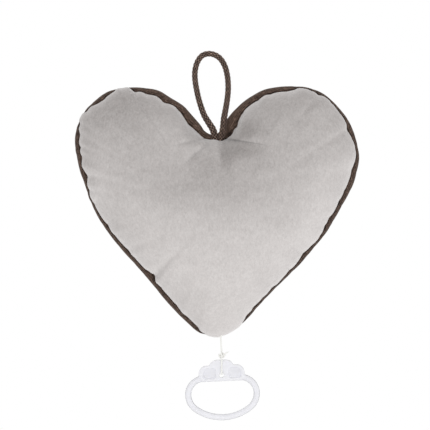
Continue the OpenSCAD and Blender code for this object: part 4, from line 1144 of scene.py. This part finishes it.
def frayed(end, chance):
    """Six short hairs that spread from the end of a cord."""
    for _ in range(6):
        spread = chance.normal(0, 0.3, 3) * MM
        go = end[-1] - end[-8]
        go *= chance.uniform(0.8, 1.5) * MM / np.linalg.norm(go)
        hair, _ = route([end[-3], end[-1] + 0.45 * spread, end[-1] + go + spread], 10)
        yield tube(KNOT + hair, 0.13 * MM, 6, relief=None, thin=np.linspace(1, 0.5, 10))


def knot_tubes(radius):
    """A trefoil, x = sin t + 2 sin 2t, z = cos t - 2 cos 2t, y = -sin 3t, pulled tight and turned
    a little, and its two cut ends with frayed hairs."""
    t = np.linspace(0, FULL_TURN, 180, endpoint=False)
    tight = np.stack([0.62 * (np.sin(t) + 2 * np.sin(2 * t)), -0.95 * np.sin(3 * t),
                      0.5 * (np.cos(t) - 2 * np.cos(2 * t))], 1) * MM
    tight = tight @ np.array([[0.92, 0, 0.39], [0, 1, 0], [-0.39, 0, 0.92]]) + (0, 0, 0.5 * MM)
    tubes = [tube(KNOT + tight, radius * 0.98, 18, tight + (0, 1e-5, 0), closed=True)]
    for places in KNOT_ENDS:
        end, _ = route(np.array(places) * MM, 40)
        tubes.append(tube(KNOT + end, radius * 0.86, 14))
        tubes += frayed(end, np.random.RandomState(len(tubes)))
    return tubes


def pull_cord_piece(cords, finishes):
    """The straight cord from the drum to the knot; the knot, its frayed ends, and the strands
    that pass through the ring's hole."""
    # The cord's grooves get painted shade of (0.87, 0.86, 0.81) times its colour
    string = yarn_material("string", finishes.string, (0.87, 0.86, 0.81), fine=5200.0, lively=0.12)
    radius = cords.cord / 2
    path, length = route(np.array(CORD_ROUTE) * MM, 400)
    piece = yarn_piece("pull_string", tube(path, radius, 20))
    place(piece, None, ["pull_cord"], string)
    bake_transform(piece)

    knot = yarn_piece("tied_knot", *knot_tubes(radius))
    place(knot, "cord_end", ["cord_knot"], string)

    under, _ = route(np.array([(0, y, z) for y, z in UNDER_KNOT]) * MM + KNOT, 130)
    strands = yarn_piece("ring_strands", tube(under, radius, 20, RIGHT))
    place(strands, "cord_end", ["ring_cord_loop"], string)


def winding_piece(cords):
    """The cord's turns on the drum: x and z go round at one radius while y swings as a sine, so
    that the turns lie side by side."""
    low, high = (np.array(c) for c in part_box("cord_winding"))
    thick = cords.cord / 2
    radius, swing = ((high - low) / 2 - thick)[:2]
    t = np.linspace(0.04, 5.75 * math.pi, 900)
    path = (low + high) / 2 + np.stack([radius * np.cos(t), swing * np.sin(t / 3),
                                        radius * np.sin(t)], 1)
    piece = yarn_piece("wound_string", tube(path, thick, 16))
    place(piece, "drum", ["cord_winding"], bpy.data.materials["string"])


# ---------------------------------------------------------------- pull ring

# Everything in this section is in millimetres until the mesh is made
RING_AT = np.array([4, 0, -237.85])      # the cord's place in the ring's hole
RING_WIDTH, RING_FOOT = 58.3, 25.88      # outer width, and inner height of the opening
CORNER, SIDE = 12.5, 14.0                # radii of the upper corners and of the sides
HOLE_UP, HOLE = 2.15, 1.8                # the hole's height above the bar and its radius
CORD_UP = 2.25                           # the hanging point's height above the bar
# The plate's three bumps: place along the bar, height above it, radius, and half of the middle
# one's flat top; then its foot: half length, half height, middle height and corner radius
BUMP_UP, BUMP, BUMP_FLAT = 7.85, 6.3, 3.4
SIDE_BUMP_AT, SIDE_BUMP_UP, SIDE_BUMP = 11.75, 3.85, 6.15
FOOT_LONG, FOOT_TALL, FOOT_UP, FOOT_CORNER = 15, 2.4, 1, 0.6
# The two hollows: the middle between them, how far from it each lies, its height above the bar,
# half sides, corner radius, and the radius of the circle that it is cut to
HOLLOWS_MIDDLE, HOLLOW_AT, HOLLOW_UP = 0.5, 10.0, 3.8
HOLLOW_LONG, HOLLOW_TALL, HOLLOW_CORNER, HOLLOW_CUT = 2.9, 2.3, 2.0, 6.2
PLATE_EDGE = 1.0                         # radius of the plate's rounded edges
LINE_PARTS = 12                          # the bar's line is measured in parts, to spare memory


def soft_min(a, b, width):
    """The smaller of two distances, rounded where they meet: min(a, b) - h^2 width / 4, where h is
    1 - |a - b| / width and not below 0."""
    h = np.maximum(1 - np.abs(a - b) / width, 0)
    return np.minimum(a, b) - h * h * width / 4


def slab(x, z, wide, tall, radius):
    """Distance to a rectangle of half sides wide and tall that is grown all round by a radius."""
    return np.hypot(np.maximum(abs(x) - wide, 0), np.maximum(abs(z) - tall, 0)) - radius


def arc(x, z, radius, start, end, count):
    """Points of an arc in equal steps of its angle, from start to end."""
    a = np.linspace(start, end, count)
    return np.stack([x + radius * np.cos(a), z + radius * np.sin(a)], 1)


def ring_line(bar):
    """The bar's centre line: a straight top, two corners, two sides and a flatter bottom, each arc
    tangent to the next."""
    half, drop = RING_WIDTH / 2 - bar / 2, RING_FOOT + bar - CORNER
    at = half - SIDE
    low = (at * at + drop * drop - SIDE * SIDE) / (2 * (drop - SIDE))
    meet = math.atan2(low - drop, at)
    right = np.vstack([
        np.stack([np.linspace(0, half - CORNER, 40), np.full(40, CORNER)], 1),
        arc(half - CORNER, 0, CORNER, math.pi / 2, 0, 80)[1:],
        arc(at, 0, SIDE, 0, -meet, 60)[1:],
        arc(0, low - drop, low, -meet, -math.pi / 2, 120)[1:]])
    return np.vstack([right, right[-2:0:-1] * (-1, 1)])


def cloud_outline(x, z):
    """Distance to the plate's outline, z from the bar's centre line: three bumps run into each
    other and into a foot along the bar, cut off straight 2 mm below that line."""
    cloud = slab(x, z - BUMP_UP, BUMP_FLAT, 0, BUMP)
    for side in (-1, 1):
        bump = np.hypot(x - side * SIDE_BUMP_AT, z - SIDE_BUMP_UP) - SIDE_BUMP
        cloud = soft_min(cloud, bump, 2.2)
    foot = slab(x, z - FOOT_UP, FOOT_LONG, FOOT_TALL, FOOT_CORNER)
    return np.maximum(soft_min(cloud, foot, 1.0), -2.0 - z)


def hollows(x, z):
    """Distance to the outline of the two hollows in each face: the part of a rounded rectangle
    that is inside a circle centred a little below and inwards."""
    x, z = abs(x - HOLLOWS_MIDDLE) - HOLLOW_AT, z - HOLLOW_UP
    flat = slab(x, z, HOLLOW_LONG, HOLLOW_TALL, HOLLOW_CORNER)
    return -soft_min(-flat, HOLLOW_CUT - np.hypot(x + 0.9, z + 1.4), 0.8)


def ring_distance(x, y, z, ring):
    """Distance to the ring's surface on a lattice, below 0 inside: the round bar and the plate
    with its rounded edges, softly joined, less the hollows and the hole."""
    bar, half = ring.bar / MM, ring.plate / MM / 2
    x, z = np.meshgrid(x, z, indexing="ij")
    from_line = np.full(x.shape, 1e9)
    for part in np.array_split(ring_line(bar), LINE_PARTS):
        d = np.hypot(x[..., None] - part[:, 0], z[..., None] - part[:, 1]).min(-1)
        from_line = np.minimum(from_line, d)
    y = y[None, :, None]
    body = np.sqrt(from_line[:, None] ** 2 + y ** 2) - bar / 2
    up = z - CORNER
    out = cloud_outline(x, up)[:, None] + PLATE_EDGE
    thick = np.abs(y) - half + PLATE_EDGE
    plate = (np.hypot(np.maximum(out, 0), np.maximum(thick, 0))
             + np.minimum(np.maximum(out, thick), 0) - PLATE_EDGE)
    sunk = np.maximum(hollows(x, up)[:, None], half - ring.hollow / MM - np.abs(y))
    body = -soft_min(-soft_min(body, plate, 1.6), sunk, 0.4)
    hole = np.hypot(x, up - HOLE_UP)[:, None] - HOLE
    return -soft_min(-body, hole + 0 * y, 0.5)


def pull_ring_piece(ring, finishes):
    """The moulded ring: the surface at distance 0 on a fine lattice, moved to the cord and
    leant over."""
    grain = ring.grain / MM
    x, y, z = (np.arange(a, b, grain) for a, b in ((-31, 31), (-4.2, 4.2), (-22.5, 29)))
    grid = openvdb.FloatGrid(4.0)
    grid.copyFromArray(np.ascontiguousarray(ring_distance(x, y, z, ring), dtype=np.float32))
    points, quads = (np.asarray(a) for a in grid.convertToQuads(0.0))
    p = points.astype(float) * grain + np.array([x[0], y[0], z[0]])
    p -= np.array([0, 0, CORNER + CORD_UP])
    a, b, c = p[quads[:, 0]], p[quads[:, 1]], p[quads[:, 2]]
    if (np.cross(b - a, c - a) * a).sum() < 0:
        quads = quads[:, ::-1]
    cos, sin = math.cos(ring.lean), math.sin(ring.lean)
    turned = np.stack([p[:, 0] * cos - p[:, 2] * sin, p[:, 1], p[:, 0] * sin + p[:, 2] * cos], 1)
    piece = make_mesh("moulded_ring", (turned + RING_AT) * MM, quads)
    # edge=0.3 paints shade along the ring's sides
    place(piece, "ring", ["pull_ring"],
          plastic_material("ring_plastic", finishes.ring, 0.45, grain=0.02, edge=0.3,
                           Specular_IOR_Level=0.25, Subsurface_Weight=0.5,
                           Subsurface_Scale=0.003, Subsurface_Radius=(1, 1, 1)))


# ---------------------------------------------------------------- the movement

def movement_finishes(finishes):
    """Finishes of the pieces inside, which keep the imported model's shapes."""
    made = {
        "case_plastic": plastic_material("case_plastic", finishes.case, 0.5, grain=0.08),
        "drum_plastic": plastic_material("drum_plastic", finishes.drum, 0.42, grain=0.04),
        "steel": metal_material("steel", finishes.steel, 0.3, (1, 1, 12)),
        "cast_metal": metal_material("cast_metal", finishes.cast, 0.5, (1, 1, 1)),
        "brass": metal_material("brass", finishes.brass, 0.26, (1, 14, 1)),
    }
    for part in frame["record"]["subparts"]:
        finish, node = made.get(part["material_slot"]), frame["nodes"][part["node"]]
        if finish is None:
            continue
        if not node.material_slots:
            node.data.materials.append(finish)
        for s in node.material_slots:
            s.material = finish


# ---------------------------------------------------------------- stage

VIEW_SIDE = 335.4 * MM               # side of the square view at the middle plane
VIEW_MIDDLE = (-1.2 * MM, 0, -113.1 * MM)
CAMERA_BACK = 2.4
SENSOR = 36
DAYLIGHT = 0.85                      # the world's light on the object
FLOOR_Z, FLOOR_RADIUS = -0.5, 1.5
FLOOR_RINGS, FLOOR_SIDES = 12, 48


def aimed(piece, place_at):
    """Puts a lamp or camera at a place, turned towards the middle of the view."""
    piece.location = place_at
    piece.rotation_mode = "QUATERNION"
    way = Vector(VIEW_MIDDLE) - Vector(place_at)
    piece.rotation_quaternion = way.to_track_quat("-Z", "Y")
    bpy.context.scene.collection.objects.link(piece)
    return piece


def softbox(name, place_at, side, share):
    """A square lamp that lights a surface facing it with a share of full daylight level: its power
    is share * pi^2 * distance^2."""
    lamp = bpy.data.lights.new(name, "AREA")
    lamp.shape, lamp.size, lamp.size_y = "RECTANGLE", side, side
    lamp.energy = share * math.pi ** 2 * math.dist(place_at, VIEW_MIDDLE) ** 2
    aimed(bpy.data.objects.new(name, lamp), place_at).visible_camera = False


def white_room(scene):
    """Surroundings that light the object evenly, and that the camera, glossy surfaces and clear
    ones see as pure white."""
    scene.world = bpy.data.worlds.new("White room")
    scene.world.use_nodes = True
    g = Graph(scene.world.node_tree)
    camera_ray, glossy, through = (g.node("LightPath", output=f"Is {kind} Ray")
                                   for kind in ("Camera", "Glossy", "Transmission"))
    seen = g.maths("MAXIMUM", camera_ray, g.maths("MAXIMUM", glossy, through))
    sky = g.tree.nodes["Background"].inputs
    sky["Color"].default_value = (1, 1, 1, 1)
    g.feed(seen * (1 - DAYLIGHT) + DAYLIGHT, sky["Strength"])


def floor_piece():
    """A round floor: rings of cells about a fan of triangles."""
    radius = np.linspace(0, FLOOR_RADIUS, FLOOR_RINGS + 1)[1:, None]
    angle = np.linspace(0, FULL_TURN, FLOOR_SIDES, endpoint=False)
    disc = np.stack(np.broadcast_arrays(radius * np.cos(angle), radius * np.sin(angle), FLOOR_Z),
                    -1).reshape(-1, 3)
    inner = np.arange(FLOOR_SIDES)
    fan = np.stack([np.full(FLOOR_SIDES, len(disc)), inner, np.roll(inner, -1)], -1)
    floor = make_mesh("floor", np.vstack([disc, [(0, 0, FLOOR_Z)]]),
                      [cells(FLOOR_RINGS, FLOOR_SIDES, wrap=True)[:, ::-1], fan])
    floor.data.materials.append(floor_material())
    floor.visible_shadow = False


def stage_pieces():
    """Camera, lamps, white surroundings and a pale floor well below the hanging heart."""
    scene = bpy.context.scene
    scene.view_settings.view_transform = "Standard"
    camera = bpy.data.cameras.new("Camera")
    camera.sensor_width = SENSOR
    camera.lens = SENSOR * CAMERA_BACK / VIEW_SIDE
    camera.clip_start, camera.clip_end = 0.05, 50
    scene.camera = aimed(bpy.data.objects.new("Camera", camera),
                         (VIEW_MIDDLE[0], -CAMERA_BACK, VIEW_MIDDLE[2]))
    softbox("Front softbox", (0.30, -1.9, -0.55), 0.8, 0.17)
    softbox("Back softbox", (-0.5, 1.3, 0.75), 0.9, 0.25)
    white_room(scene)
    floor_piece()


# ---------------------------------------------------------------- operators and panel

class HEART_OT_stage(bpy.types.Operator):
    """Camera, lamps, surroundings and floor"""
    bl_idname, bl_label = "heart.stage", "Stage"

    def execute(self, context):
        stage_pieces()
        return {"FINISHED"}


class HEART_OT_hanging_loop(bpy.types.Operator):
    """Braided loop in the notch"""
    bl_idname, bl_label = "heart.hanging_loop", "Hanging loop"

    def execute(self, context):
        hanging_loop_piece(context.scene.heart_cords, context.scene.heart_finishes)
        return {"FINISHED"}


class HEART_OT_pull_cord(bpy.types.Operator):
    """Pull cord with its knot, the strands through the ring, and the turns on the drum"""
    bl_idname, bl_label = "heart.pull_cord", "Pull cord"

    def execute(self, context):
        pull_cord_piece(context.scene.heart_cords, context.scene.heart_finishes)
        winding_piece(context.scene.heart_cords)
        return {"FINISHED"}


class HEART_OT_front_panel(bpy.types.Operator):
    """Velvet front with its gathered seam"""
    bl_idname, bl_label = "heart.front_panel", "Front panel"

    def execute(self, context):
        front_panel_piece(context.scene.heart_sizes, context.scene.heart_finishes)
        return {"FINISHED"}


class HEART_OT_back_panel(bpy.types.Operator):
    """Knitted back that rolls forward to the seam"""
    bl_idname, bl_label = "heart.back_panel", "Back panel"

    def execute(self, context):
        back_panel_piece(context.scene.heart_sizes, context.scene.heart_finishes)
        return {"FINISHED"}


class HEART_OT_filling(bpy.types.Operator):
    """Loose fibre with a chamber for the movement"""
    bl_idname, bl_label = "heart.filling", "Filling"

    def execute(self, context):
        filling_piece(context.scene.heart_sizes, context.scene.heart_finishes)
        return {"FINISHED"}


class HEART_OT_pull_ring(bpy.types.Operator):
    """Moulded ring with a cloud-shaped plate"""
    bl_idname, bl_label = "heart.pull_ring", "Pull ring"

    def execute(self, context):
        pull_ring_piece(context.scene.heart_ring, context.scene.heart_finishes)
        return {"FINISHED"}


class HEART_OT_movement(bpy.types.Operator):
    """Finishes of the case and of the movement inside it"""
    bl_idname, bl_label = "heart.movement", "Movement finishes"

    def execute(self, context):
        movement_finishes(context.scene.heart_finishes)
        return {"FINISHED"}


STEPS = [HEART_OT_stage, HEART_OT_hanging_loop, HEART_OT_pull_cord, HEART_OT_front_panel,
         HEART_OT_back_panel, HEART_OT_filling, HEART_OT_pull_ring, HEART_OT_movement]


class HEART_PT_panel(bpy.types.Panel):
    """Lists the sizes, the colours and the steps"""
    bl_idname, bl_label = "HEART_PT_panel", "Plush heart"
    bl_space_type, bl_region_type, bl_category = "VIEW_3D", "UI", "Heart"

    def draw(self, context):
        for name, group in GROUPS.items():
            box = self.layout.box()
            for setting in group.__annotations__:
                box.prop(getattr(context.scene, name), setting)
        for operator in STEPS:
            self.layout.operator(operator.bl_idname)


CLASSES = [*GROUPS.values(), *STEPS, HEART_PT_panel]


def register():
    for c in CLASSES:
        bpy.utils.register_class(c)
    for name, group in GROUPS.items():
        setattr(bpy.types.Scene, name, PointerProperty(type=group))


def unregister():
    for name in GROUPS:
        delattr(bpy.types.Scene, name)
    for c in reversed(CLASSES):
        bpy.utils.unregister_class(c)


def main():
    """Makes every piece in order."""
    register()
    build_groups()
    for operator in STEPS:
        module, name = operator.bl_idname.split(".")
        if getattr(getattr(bpy.ops, module), name)() != {"FINISHED"}:
            raise RuntimeError(operator.bl_label + " didn't finish")


if __name__ == "__main__":
    main()
